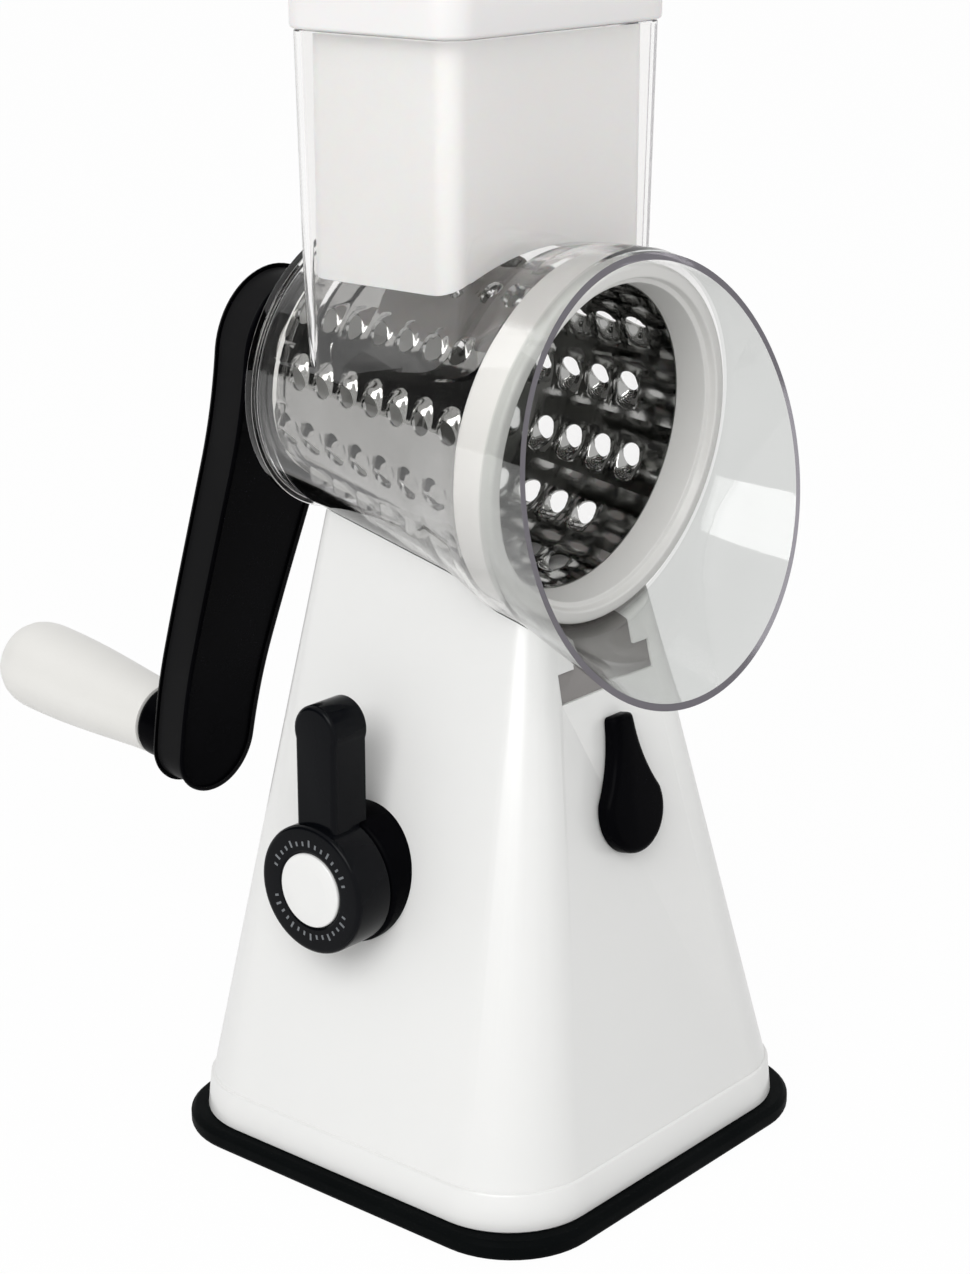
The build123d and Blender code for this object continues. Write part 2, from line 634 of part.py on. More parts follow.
def saddle(inset, top):
    """The chute below the split, as a solid that reaches down into the barrel."""
    root = rounded_face(
        CHUTE_ROOT_HALF_X - inset,
        CHUTE_CENTRE_Y - CHUTE_HALF_Y + inset,
        CHUTE_CENTRE_Y + CHUTE_HALF_Y - inset,
        CHUTE_CORNER - inset,
        CHUTE_ROOT,
    )
    waist = chute_face(CHUTE_WAIST, inset)
    return loft([root, waist]) + loft([waist, chute_face(top, inset)])


def funnel(inset):
    tilt = radians(FUNNEL_RIM_TILT)
    mouth = Plane(
        origin=(0, FUNNEL_RIM_Y, FUNNEL_RIM_Z),
        x_dir=(1, 0, 0),
        z_dir=(0, -cos(tilt), sin(tilt)),
    )
    root = axis_plane(BARREL_FRONT) * Circle(BARREL_FRONT_RADIUS - inset)
    return loft([root, mouth * Circle(FUNNEL_RIM_RADIUS - inset)])


def make_feed_chute():
    outside = loft([chute_face(CHUTE_SPLIT, 0), chute_face(CHUTE_TOP, 0)])
    inside = loft([chute_face(CHUTE_SPLIT, HOUSING_WALL), chute_face(CHUTE_TOP, HOUSING_WALL)])
    return outside - inside


def make_feed_saddle():
    """The chute's lower walls, cut to the round of the barrel that they stand on."""
    walls = saddle(0, CHUTE_SPLIT) - saddle(HOUSING_WALL, CHUTE_SPLIT)
    return walls - barrel(0, BARREL_BACK)


def make_feed_barrel():
    inner_back = BARREL_BACK + BACK_WALL
    rim = turned_on_axis([
        (0, BARREL_BACK),
        (BACK_RIM_RADIUS, BARREL_BACK),
        (BACK_RIM_RADIUS, BARREL_BACK + BACK_RIM_WIDTH),
        (0, BARREL_BACK + BACK_RIM_WIDTH),
    ])
    bore = axis_plane(0) * rod_solid(BUSH_RADIUS + PRESS_GAP, BARREL_BACK, inner_back)
    outside = barrel(0, BARREL_BACK) + rim
    return outside - barrel(HOUSING_WALL, inner_back) - saddle(HOUSING_WALL, CHUTE_SPLIT) - bore


def make_feed_funnel():
    return funnel(0) - funnel(HOUSING_WALL)


def make_shaft_boss():
    """The tube behind the barrel that holds the bush."""
    boss_back = BARREL_BACK - BOSS_LENGTH
    return axis_plane(0) * tube(BOSS_RADIUS, BUSH_RADIUS + PRESS_GAP, boss_back, BARREL_BACK)


def make_housing_rail():
    """The T shaped foot that slides into the pedestal, with a notch for the latch bolt."""
    far = 2 * FOOT_HALF
    wide = block(-RAIL_HALF_WIDTH, RAIL_HALF_WIDTH, -far, RAIL_BACK, RAIL_BOTTOM, RAIL_TOP)
    narrow = block(-RAIL_NECK_HALF, RAIL_NECK_HALF, -far, RAIL_BACK, RAIL_BOTTOM, BODY_TOP)
    rail = (wide + narrow) & body_solid(RAIL_INSET)
    half = BOLT_HALF + SLIDE_GAP
    high = bolt_top() + BOLT_ENGAGE + SLIDE_GAP
    deep = -BOLT_DEPTH - half
    notch = LATCH_PLANE * block(-half, half, LATCH_CAM_RADIUS, high, deep, deep + 2 * half)
    return rail - notch - barrel(0, BARREL_BACK) - funnel(0)


# ================================================================ drum
def drum_radius(station):
    return DRUM_MID_RADIUS + DRUM_FLARE * station


def tooth_places():
    """Station and angle of every tooth; the rows are staggered by half a pitch."""
    places = []
    for row in range(TOOTH_ROWS):
        first = TOOTH_FIRST - (row % 2) * TOOTH_PITCH / 2
        for column in range(TEETH_PER_ROW):
            angle = TOOTH_TURN + 360 * row / TOOTH_ROWS
            places.append((first + column * TOOTH_PITCH, angle))
    return places


def tooth_frame(station, angle):
    """A frame on the drum's skin whose z points outwards."""
    reach = drum_radius(station)
    return Rot(0, 0, angle) * Pos(reach, 0, station) * Rot(0, 90, 0)


def drum_core(inset):
    """The drum's solid cone, drawn in by an inset; its seam lies between two rows of teeth."""
    seam = Rot(0, 0, TOOTH_TURN + 180 / TOOTH_ROWS)
    return seam * turned([
        (0, DRUM_BACK),
        (drum_radius(DRUM_BACK) - inset, DRUM_BACK),
        (drum_radius(DRUM_FRONT) - inset, DRUM_FRONT),
        (0, DRUM_FRONT),
    ])


def make_drum():
    """The perforated sheet with a collar round every hole, leaning to lift its cutting side."""
    height = TOOTH_RISE + TOOTH_ROOT
    collars = []
    holes = []
    for station, angle in tooth_places():
        frame = tooth_frame(station, angle) * Rot(-TOOTH_LEAN, 0, 0)
        collars.append(frame * rod_solid(TOOTH_RADIUS, -TOOTH_ROOT, TOOTH_RISE))
        holes.append(frame * rod_solid(TOOTH_HOLE_RADIUS, -2 * height, 2 * height))
    skin = drum_core(0) + collars
    return axis_plane(0) * (skin - drum_core(DRUM_SHEET) - holes)


def make_drum_ring():
    """The white band round the mouth, on a sleeve over the drum's front edge."""
    sleeve = drum_radius(DRUM_FRONT) + RING_BAND
    return turned_on_axis([
        (drum_radius(RING_SLEEVE_BACK) + PRESS_GAP, RING_SLEEVE_BACK),
        (sleeve, RING_SLEEVE_BACK),
        (sleeve, RING_FRONT - RING_BAND),
        (RING_RADIUS - RING_BAND, RING_FRONT - RING_BAND),
        (RING_RADIUS - RING_BAND, RING_BACK),
        (RING_RADIUS, RING_BACK),
        (RING_RADIUS, RING_FRONT),
        (RING_MOUTH_RADIUS, RING_FRONT),
        (RING_THROAT_RADIUS, DRUM_FRONT + PRESS_GAP),
        (drum_radius(DRUM_FRONT) + PRESS_GAP, DRUM_FRONT + PRESS_GAP),
    ])


def make_drum_hub():
    """The disc that closes the drum's back, with the socket for the crank's hexagon."""
    back = DRUM_BACK - 1.5
    front = back + HUB_PLATE
    edge = drum_radius(DRUM_BACK) - DRUM_SHEET - PRESS_GAP
    hub = turned([
        (0, back),
        (edge + DRUM_SHEET, back),
        (edge + DRUM_SHEET, DRUM_BACK - PRESS_GAP),
        (edge, DRUM_BACK - PRESS_GAP),
        (edge, front),
        (HUB_BOSS_RADIUS, front),
        (HUB_BOSS_RADIUS, back + HUB_BOSS_LENGTH),
        (0, back + HUB_BOSS_LENGTH),
    ])
    across = SHAFT_HEX + 2 * RUN_GAP
    socket_face = RegularPolygon(across / 2, 6, major_radius=False)
    socket = Pos(0, 0, back) * extrude(socket_face, SHAFT_HEX_LENGTH + RUN_GAP)
    return axis_plane(0) * (hub - socket)


# ================================================================ crank
HUB_BACK = DRUM_BACK - 1.5
ARM_FRONT = BARREL_BACK - BOSS_LENGTH - SLIDE_GAP
ARM_BACK = ARM_FRONT - ARM_THICKNESS
KNOB_SEAT = ARM_BACK - ARM_OFFSET
SHAFT_END = ARM_BACK + ARM_POCKET_DEPTH
KNOB_PLANE = axis_plane(0) * Pos(0, -ARM_LENGTH, 0)


def make_rear_bush():
    back = BARREL_BACK - BOSS_LENGTH
    inner_back = BARREL_BACK + BACK_WALL
    return turned_on_axis([
        (SHAFT_RADIUS + RUN_GAP, back),
        (BUSH_RADIUS, back),
        (BUSH_RADIUS, inner_back),
        (BUSH_FLANGE_RADIUS, inner_back),
        (BUSH_FLANGE_RADIUS, HUB_BACK - SLIDE_GAP),
        (SHAFT_RADIUS + RUN_GAP, HUB_BACK - SLIDE_GAP),
    ])


def make_crank_shaft():
    body = rod_solid(SHAFT_RADIUS, SHAFT_END, HUB_BACK - RUN_GAP)
    hexagon = RegularPolygon(SHAFT_HEX / 2, 6, major_radius=False)
    body += Pos(0, 0, HUB_BACK - SLIDE_GAP) * extrude(hexagon, SHAFT_HEX_LENGTH)
    body -= rod_solid(SCREW_SHANK_RADIUS, SHAFT_END, SHAFT_END + SCREW_LENGTH)
    return axis_plane(0) * body


def arm_outline():
    """Two circles and the lines that touch both, seen along the drum axis."""
    lean = (ARM_HUB_RADIUS - ARM_END_RADIUS) / ARM_LENGTH
    rise = (1 - lean * lean) ** 0.5
    sides = []
    for side in (1, -1):
        high = (side * ARM_HUB_RADIUS * rise, -ARM_HUB_RADIUS * lean)
        low = (side * ARM_END_RADIUS * rise, -ARM_LENGTH - ARM_END_RADIUS * lean)
        sides.append((high, low))
    (right_high, right_low), (left_high, left_low) = sides
    outline = Wire([
        ThreePointArc(left_high, (0, ARM_HUB_RADIUS), right_high),
        Line(right_high, right_low),
        ThreePointArc(right_low, (0, -ARM_LENGTH - ARM_END_RADIUS), left_low),
        Line(left_low, left_high),
    ])
    return Face(outline)


def arm_edge(station):
    """One long edge of the arm seen from the side: it leans back between two upright ends."""
    return [
        (station, 2 * ARM_HUB_RADIUS),
        (station, -0.6 * ARM_HUB_RADIUS),
        (station - 0.78 * ARM_OFFSET, -0.72 * ARM_LENGTH),
        (station - ARM_OFFSET, -ARM_LENGTH + 0.6 * ARM_END_RADIUS),
        (station - ARM_OFFSET, -ARM_LENGTH - 2 * ARM_END_RADIUS),
    ]


def make_crank_arm():
    front = FilletPolyline(*arm_edge(ARM_FRONT), radius=60)
    back = FilletPolyline(*arm_edge(ARM_BACK), radius=60)
    top = Line(front @ 0, back @ 0)
    bottom = Line(front @ 1, back @ 1)
    band = make_face([front, bottom, back, top])
    side_view = Plane(origin=(0, 0, 0), x_dir=(0, 0, 1), z_dir=(-1, 0, 0))
    slab = extrude(side_view * band, 2 * ARM_HUB_RADIUS, both=True)
    outline = extrude(Pos(0, 0, KNOB_SEAT - ARM_OFFSET) * arm_outline(), 4 * ARM_OFFSET, dir=(0, 0, 1))
    arm = slab & outline
    arm -= rod_solid(SHAFT_RADIUS + PRESS_GAP, SHAFT_END, ARM_FRONT)
    arm -= rod_solid(SCREW_SHANK_RADIUS + PRESS_GAP, ARM_BACK, SHAFT_END)
    arm -= rod_solid(ARM_POCKET_RADIUS, ARM_BACK, SHAFT_END)
    pin_hole = Pos(0, -ARM_LENGTH) * rod_solid(
        PIN_RADIUS + PRESS_GAP, KNOB_SEAT, KNOB_SEAT + ARM_THICKNESS / 2
    )
    return axis_plane(0) * (arm - pin_hole)


def make_arm_screw():
    body = screw(SCREW_HEAD_RADIUS, SCREW_HEAD_HEIGHT, SCREW_SHANK_RADIUS - PRESS_GAP,
                 SCREW_LENGTH - PRESS_GAP)
    return axis_plane(0) * Pos(0, 0, SHAFT_END) * Rot(180, 0, 0) * body


def make_knob_pin():
    return KNOB_PLANE * rod_solid(PIN_RADIUS, KNOB_SEAT - PIN_LENGTH, KNOB_SEAT + ARM_THICKNESS / 2)


def make_knob_collar():
    low = KNOB_SEAT - COLLAR_LENGTH
    return KNOB_PLANE * tube(COLLAR_RADIUS, PIN_RADIUS + PRESS_GAP, low, KNOB_SEAT)


def make_crank_knob():
    """A swelling grip with a round end, bored for the pin."""
    near = KNOB_SEAT - COLLAR_LENGTH - SLIDE_GAP
    far = near - KNOB_LENGTH
    middle = near - 0.72 * KNOB_LENGTH
    side = Spline(
        (KNOB_NEAR_RADIUS, near),
        (0.5 * (KNOB_NEAR_RADIUS + KNOB_MAX_RADIUS) + 0.3, near - 0.33 * KNOB_LENGTH),
        (KNOB_MAX_RADIUS, middle),
        tangents=((0.1, -1), (0, -1)),
    )
    shoulder = Spline(
        (KNOB_MAX_RADIUS, middle),
        (KNOB_END_RADIUS, far + 0.06 * KNOB_LENGTH),
        (0, far),
        tangents=((0, -1), (-1, 0)),
    )
    outline = make_face([
        side,
        shoulder,
        Line((0, far), (0, near)),
        Line((0, near), (KNOB_NEAR_RADIUS, near)),
    ])
    grip = revolve(Plane.XZ * outline, Axis.Z)
    bore = rod_solid(PIN_RADIUS + RUN_GAP, KNOB_SEAT - PIN_LENGTH - SLIDE_GAP, near)
    return KNOB_PLANE * (grip - bore)


# ================================================================ pusher
PUSHER_HALF_X = CHUTE_HALF_X - HOUSING_WALL - PUSHER_GAP
PUSHER_HALF_Y = CHUTE_HALF_Y - HOUSING_WALL - PUSHER_GAP
CAP_SEAT = CHUTE_TOP + SLIDE_GAP


def pusher_face(inset, z):
    return rounded_face(
        PUSHER_HALF_X - inset,
        CHUTE_CENTRE_Y - PUSHER_HALF_Y + inset,
        CHUTE_CENTRE_Y + PUSHER_HALF_Y - inset,
        PUSHER_CORNER - inset,
        z,
    )


def make_pusher_body():
    """A hollow block whose underside arches over the drum."""
    rise = PUSHER_ARCH_TOP - PUSHER_LOW
    radius = (PUSHER_HALF_X ** 2 + rise ** 2) / (2 * rise)
    centre_z = PUSHER_ARCH_TOP - radius
    across = Pos(0, CHUTE_CENTRE_Y, centre_z) * Rot(90, 0, 0)
    arch = across * Cylinder(radius, 4 * PUSHER_HALF_Y)
    floor = across * Cylinder(radius + PUSHER_FLOOR, 4 * PUSHER_HALF_Y)
    outside = extrude(pusher_face(0, PUSHER_LOW), CAP_SEAT - PUSHER_LOW)
    inside = extrude(pusher_face(PUSHER_WALL, PUSHER_LOW), CAP_SEAT - PUSHER_LOW)
    return outside - arch - (inside - floor)


def make_pusher_cap():
    grow = (CHUTE_TOP - CHUTE_WAIST) * tan(radians(CHUTE_DRAFT)) + CAP_OVERHANG
    half_x = CHUTE_HALF_X + grow
    half_y = CHUTE_HALF_Y + grow
    front = CHUTE_CENTRE_Y - half_y
    back = CHUTE_CENTRE_Y + half_y
    lid = extrude(rounded_face(half_x, front, back, CAP_CORNER, CAP_SEAT), CAP_HEIGHT)
    dish = rounded_face(
        half_x - CAP_WALL, front + CAP_WALL, back - CAP_WALL, CAP_CORNER - CAP_WALL,
        CAP_SEAT + CAP_WALL,
    )
    lid -= extrude(dish, CAP_HEIGHT - CAP_WALL)
    plug = pusher_face(PUSHER_WALL + PRESS_GAP, CAP_SEAT - CAP_PLUG_DEPTH)
    return lid + extrude(plug, CAP_PLUG_DEPTH)


# ================================================================ all the pieces
PIECES = {
    "base_shell": make_base_shell,
    "rubber_foot": make_rubber_foot,
    "suction_membrane": make_suction_membrane,
    "base_plate": make_base_plate,
    "base_plate_screws": make_plate_screws,
    "cam_bracket": make_cam_bracket,
    "pull_rod": make_pull_rod,
    "rod_foot": make_rod_foot,
    "rod_collar": make_rod_collar,
    "return_spring": make_return_spring,
    "lift_yoke": make_lift_yoke,
    "lift_cam": make_lift_cam,
    "lever_shaft": make_lever_shaft,
    "lever_boss": make_lever_boss,
    "suction_lever": make_suction_lever,
    "lever_cap": make_lever_cap,
    "lever_screw": make_lever_screw,
    "latch_knob": make_latch_knob,
    "latch_stem": make_latch_stem,
    "latch_clip": make_latch_clip,
    "latch_cam": make_latch_cam,
    "latch_bolt": make_latch_bolt,
    "feed_barrel": make_feed_barrel,
    "feed_saddle": make_feed_saddle,
    "feed_chute": make_feed_chute,
    "feed_funnel": make_feed_funnel,
    "shaft_boss": make_shaft_boss,
    "housing_rail": make_housing_rail,
    "rear_bush": make_rear_bush,
    "drum": make_drum,
    "drum_ring": make_drum_ring,
    "drum_hub": make_drum_hub,
    "crank_shaft": make_crank_shaft,
    "crank_arm": make_crank_arm,
    "arm_screw": make_arm_screw,
    "knob_pin": make_knob_pin,
    "knob_collar": make_knob_collar,
    "crank_knob": make_crank_knob,
    "pusher_body": make_pusher_body,
    "pusher_cap": make_pusher_cap,
}

os.makedirs("parts", exist_ok=True)
for name, make in PIECES.items():
    export_step(make(), f"parts/{name}.step")
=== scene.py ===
from contextlib import contextmanager
from math import atan2, cos, degrees, hypot, pi, radians, sin, sqrt, tan

import bmesh
import bpy
from mathutils import Matrix, Vector


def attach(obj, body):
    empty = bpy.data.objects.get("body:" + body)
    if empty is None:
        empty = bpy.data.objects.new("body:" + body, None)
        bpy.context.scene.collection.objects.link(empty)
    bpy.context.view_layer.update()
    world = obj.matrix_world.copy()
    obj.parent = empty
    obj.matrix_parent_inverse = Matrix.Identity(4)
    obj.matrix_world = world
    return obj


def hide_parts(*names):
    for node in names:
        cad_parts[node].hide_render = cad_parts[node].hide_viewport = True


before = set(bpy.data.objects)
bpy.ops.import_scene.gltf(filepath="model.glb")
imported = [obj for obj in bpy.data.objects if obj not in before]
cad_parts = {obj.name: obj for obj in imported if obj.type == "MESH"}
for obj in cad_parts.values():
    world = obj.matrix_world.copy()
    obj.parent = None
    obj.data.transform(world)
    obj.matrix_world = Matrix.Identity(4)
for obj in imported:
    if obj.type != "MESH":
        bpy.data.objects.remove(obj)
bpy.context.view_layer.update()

MM = 0.001
AROUND = 160            # points round a large circle

# -------------------------------- sizes, in millimetres
AXIS_Z = 218.2          # height of the drum axis above the origin
AXIS_TILT = radians(6.0)
BARREL_BACK = -54.7     # stations are measured along the drum axis, forwards
BARREL_BACK_RADIUS = 41.2
BARREL_WAIST = 12.0
BARREL_WAIST_RADIUS = 48.0
BARREL_SHOULDER = 29.0
BARREL_SHOULDER_RADIUS = 53.2
BARREL_FRONT = 42.0
BARREL_FRONT_RADIUS = 54.6
HOUSING_WALL = 2.0
BACK_WALL = 2.2
BACK_RIM_RADIUS = 43.1
BACK_RIM_WIDTH = 2.5
BOSS_RADIUS = 12.5
BOSS_LENGTH = 19.6
BUSH_RADIUS = 9.0
FUNNEL_RIM_RADIUS = 61.4
FUNNEL_RIM_Y = -62.1
FUNNEL_RIM_Z = 206.7
FUNNEL_RIM_TILT = radians(11.0)
CHUTE_HALF_X = 44.9
CHUTE_HALF_Y = 28.8
CHUTE_CENTRE_Y = 4.5
CHUTE_CORNER = 8.0
CHUTE_WAIST = 252.0
CHUTE_TOP = 323.5
CHUTE_DRAFT = radians(0.88)
CORNER_SHADE = (-64, -34)   # degrees round the chute's front right corner, drawn as a painted dark line of shade
CHUTE_ROOT = 224.0
CHUTE_ROOT_HALF_X = 42.3
RAIL_HALF_WIDTH = 20.0
RAIL_HEIGHT = 8.0
RAIL_BOTTOM = 144.5
RAIL_NECK_HALF = 13.0
RAIL_BACK = 34.0
RAIL_INSET = 0.6
SLOT_GAP = 0.3          # between the rail and the pedestal's slot

FOOT_HALF = 72.2
FOOT_CORNER = 27.1
FOOT_HEIGHT = 5.5
FOOT_MOUTH_RADIUS = 58.0
SKIRT_HALF_LOW = 68.2
SKIRT_HALF_HIGH = 67.4
SKIRT_CORNER = 26.4
SKIRT_TOP = 16.8
BODY_HALF_LOW = 66.7
BODY_CORNER_LOW = 25.9
NECK_Z = 165.0
NECK_HALF_X = 28.5
NECK_FRONT = 38.5
NECK_BACK = 48.1
NECK_CORNER = 7.7
BODY_TOP = 192.0
SHELL_WALL = 2.6

DRUM_MID_RADIUS = 41.1
DRUM_FLARE = 0.0926
DRUM_BACK = -48.0
DRUM_FRONT = 32.0
DRUM_SHEET = 0.8
TOOTH_ROWS = 13
TEETH_PER_ROW = 7
TOOTH_PITCH = 10.0
TOOTH_FIRST = -39.0     # of the even rows; the odd ones start half a pitch further back
TOOTH_TURN = radians(117.0)
TOOTH_HALF_LENGTH = 3.3     # of the hole, round the drum
TOOTH_HALF_WIDTH = 3.1      # of the hole, along the drum
TOOTH_LIFT = 2.4            # of the hood over the side that cuts
TOOTH_REACH = 2.3           # how far the hood's tail runs, in hole sizes
TOOTH_RINGS = 7
RING_RADIUS = 50.6
RING_BACK = 30.6
RING_FRONT = 43.9
RING_MOUTH_RADIUS = 46.4
RING_THROAT_RADIUS = 43.4

ARM_LENGTH = 138.0
ARM_HUB_RADIUS = 22.5
ARM_END_RADIUS = 16.5
ARM_THICKNESS = 13.6
ARM_OFFSET = 26.0
POCKET_RADIUS = 6.5     # round the arm's screw
POCKET_DEPTH = 3.0
ARM_FRONT = BARREL_BACK - BOSS_LENGTH - 0.3
KNOB_SEAT = ARM_FRONT - ARM_THICKNESS - ARM_OFFSET
COLLAR_RADIUS = 12.0
COLLAR_LENGTH = 12.0
KNOB_LENGTH = 71.5
KNOB_NEAR_RADIUS = 11.9
KNOB_MAX_RADIUS = 15.0

LEVER_Y = 9.0
LEVER_Z = 91.0
LEVER_FRONT = 68.0
LEVER_BACK = 55.0
LEVER_HUB_RADIUS = 18.8
LEVER_ARM_FRONT = 65.4
LEVER_ARM_BACK = 52.0
LEVER_ARM_HALF = 7.3
LEVER_HEAD_RADIUS = 7.9
LEVER_LENGTH = 53.5
CAP_DISC_RADIUS = 10.8
CAP_DISC_HEIGHT = 1.6
BOSS_DISC_RADIUS = 19.5
BOSS_DISC_GAP = 0.4

LATCH_Z = 110.0
LATCH_BULB_RADIUS = 12.6
LATCH_THICKNESS = 5.0
LATCH_LIFT = 0.3


# ================================ meshes
def placed(name, data):
    """A linked object round its data."""
    obj = bpy.data.objects.new(name, data)
    bpy.context.scene.collection.objects.link(obj)
    return obj


@contextmanager
def edited(mesh):
    """The mesh as a bmesh, written back at the end."""
    bm = bmesh.new()
    bm.from_mesh(mesh)
    yield bm
    bm.to_mesh(mesh)
    bm.free()


def mesh_object(name, verts, faces):
    """A linked object from points in millimetres."""
    mesh = bpy.data.meshes.new(name)
    mesh.from_pydata([Vector(v) * MM for v in verts], [], faces)
    with edited(mesh) as bm:
        bmesh.ops.recalc_face_normals(bm, faces=bm.faces)
    obj = placed(name, mesh)
    shade(obj)
    return obj


def shade(obj, smooth_angle=34.0):
    """Smooth, but edges sharper than the angle stay sharp."""
    mesh = obj.data
    mesh.shade_smooth()
    mesh.set_sharp_from_angle(angle=radians(smooth_angle))


def bake_modifiers(obj):
    """Replaces the mesh by what its modifiers make of it."""
    depsgraph = bpy.context.evaluated_depsgraph_get()
    result = bpy.data.meshes.new_from_object(obj.evaluated_get(depsgraph))
    obj.modifiers.clear()
    obj.data = result


def boolean(obj, other, operation):
    """Joins, cuts or intersects obj with other, which goes away."""
    modifier = obj.modifiers.new("boolean", "BOOLEAN")
    modifier.operation = operation
    modifier.solver = "EXACT"
    modifier.object = other
    bake_modifiers(obj)
    bpy.data.objects.remove(other)
    return obj


def soften(obj, width, segments=3):
    """Rounds the sharp edges of a mesh."""
    with edited(obj.data) as bm:
        bmesh.ops.remove_doubles(bm, verts=bm.verts, dist=0.01 * MM)
        bmesh.ops.dissolve_degenerate(bm, edges=bm.edges, dist=0.02 * MM)
        bmesh.ops.dissolve_limit(bm, angle_limit=radians(0.6), verts=bm.verts, edges=bm.edges)
    modifier = obj.modifiers.new("bevel", "BEVEL")
    modifier.width = width * MM
    modifier.segments = segments
    modifier.limit_method = "ANGLE"
    modifier.angle_limit = radians(40)
    modifier.miter_outer = "MITER_ARC"
    bake_modifiers(obj)
    shade(obj)


def soft_copy(node, name, width, segments):
    """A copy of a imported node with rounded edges, which stands for it."""
    obj = placed(name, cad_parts[node].data.copy())
    soften(obj, width, segments)
    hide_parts(node)
    return obj


def bridge(rings, closed=True, cap_first=False, cap_last=False, close_stack=False):
    """Faces between rings of equal count; a ring of one point is a pole."""
    verts = []
    starts = []
    for ring in rings:
        starts.append(len(verts))
        verts.extend(ring)
    faces = []
    pairs = list(zip(range(len(rings)), range(1, len(rings))))
    if close_stack:
        pairs.append((len(rings) - 1, 0))
    for low, high in pairs:
        a, b = starts[low], starts[high]
        m, n = len(rings[low]), len(rings[high])
        count = max(m, n)
        last = count if closed else count - 1
        for i in range(last):
            j = (i + 1) % count
            if m == 1:
                faces.append((a, b + i, b + j))
            elif n == 1:
                faces.append((a + i, a + j, b))
            else:
                faces.append((a + i, a + j, b + j, b + i))
    for end, capped in ((0, cap_first), (-1, cap_last)):
        if capped:
            faces.append(tuple(range(starts[end], starts[end] + len(rings[end]))))
    return verts, faces


def circle(radius, height, count=AROUND):
    """A ring round Z."""
    if radius < 1e-6:
        return [(0.0, 0.0, height)]
    return [
        (radius * cos(2 * pi * i / count), radius * sin(2 * pi * i / count), height)
        for i in range(count)
    ]


def turned(name, profile, count=AROUND, closed=True):
    """A solid of revolution from (radius, height) points."""
    rings = [circle(r, z, count) for r, z in profile]
    verts, faces = bridge(rings, close_stack=closed)
    return mesh_object(name, verts, faces)


def cylinder(radius, low, high, count=AROUND):
    """A cutter along z."""
    return turned("cut", [(0.0, low), (radius, low), (radius, high), (0.0, high)], count, closed=False)


def loft(name, rings):
    """A closed piece through a stack of rings."""
    verts, faces = bridge(rings, cap_first=True, cap_last=True)
    return mesh_object(name, verts, faces)


def rounded(points, radii, steps=5, closed=True):
    """A polyline in two dimensions with its corners rounded; radii has one value for each point."""
    count = len(points)
    result = []
    for i, point in enumerate(points):
        radius = radii[i]
        if radius <= 0 or (not closed and i in (0, count - 1)):
            result.append(tuple(point))
            continue
        here = Vector(point)
        before = Vector(points[i - 1]) - here
        after = Vector(points[(i + 1) % count]) - here
        half = before.angle(after) / 2
        reach = min(radius / tan(half), 0.49 * before.length, 0.49 * after.length)
        start = here + before.normalized() * reach
        end = here + after.normalized() * reach
        for step in range(steps + 1):
            t = step / steps
            bend = start * (1 - t) ** 2 + here * 2 * t * (1 - t) + end * t ** 2
            result.append(tuple(bend))
    return result


def rounded_rectangle(half_x, front, back, corner, z, steps=14):
    """A ring of points round a rectangle with round corners, at one height."""
    ring = []
    centres = [
        (half_x - corner, back - corner, 0),
        (-half_x + corner, back - corner, 90),
        (-half_x + corner, front + corner, 180),
        (half_x - corner, front + corner, 270),
    ]
    for x, y, start in centres:
        for step in range(steps + 1):
            angle = radians(start + 90 * step / steps)
            ring.append((x + corner * cos(angle), y + corner * sin(angle), z))
    return ring


def rounded_square(half, corner, z):
    return rounded_rectangle(half, -half, half, corner, z)


def round_edge(edge, steps):
    """Inset and depth, along a rounded edge, from the side of a piece to its face."""
    angles = [pi / 2 * i / steps for i in range(steps + 1)]
    return [(edge * (1 - cos(a)), edge * (1 - sin(a))) for a in angles]


def moved(obj, matrix):
    obj.data.transform(matrix)
    return obj


def axis_frame(down=0.0):
    """x stays, y points up, z runs along the drum axis to the mouth."""
    along = Vector((0, -cos(AXIS_TILT), -sin(AXIS_TILT)))
    up = Vector((0, -sin(AXIS_TILT), cos(AXIS_TILT)))
    origin = Vector((0, 0, AXIS_Z)) - up * down
    return frame_matrix((1, 0, 0), up, along, origin)


def frame_matrix(x, y, z, origin):
    matrix = Matrix.Identity(4)
    for column, vector in enumerate((x, y, z, Vector(origin) * MM)):
        for row in range(3):
            matrix[row][column] = vector[row]
    return matrix


def join(name, objects):
    """One object from several."""
    mesh = bpy.data.meshes.new(name)
    with edited(mesh) as bm:
        for obj in objects:
            bm.from_mesh(obj.data)
            bpy.data.objects.remove(obj)
    obj = placed(name, mesh)
    shade(obj)
    return obj


# ================================ materials
def new_material(name):
    material = bpy.data.materials.new(name)
    material.use_nodes = True
    nodes = material.node_tree.nodes
    shader = nodes["Principled BSDF"]
    return material, nodes, material.node_tree.links, shader


def put(node, values):
    """Sets sockets by their names."""
    for name, value in values.items():
        node.inputs[name].default_value = value


def noise(nodes, scale, detail=3.0, roughness=0.55):
    texture = nodes.new("ShaderNodeTexNoise")
    put(texture, {"Scale": scale, "Detail": detail, "Roughness": roughness})
    return texture


def object_space(nodes, links, *textures):
    where = nodes.new("ShaderNodeTexCoord")
    for texture in textures:
        links.new(where.outputs["Object"], texture.inputs["Vector"])


def spread(nodes, links, texture, low, high):
    """Maps the middle of a noise to a range."""
    mapper = nodes.new("ShaderNodeMapRange")
    put(mapper, {"From Min": 0.3, "From Max": 0.7, "To Min": low, "To Max": high})
    links.new(texture.outputs["Fac"], mapper.inputs["Value"])
    return mapper.outputs["Result"]


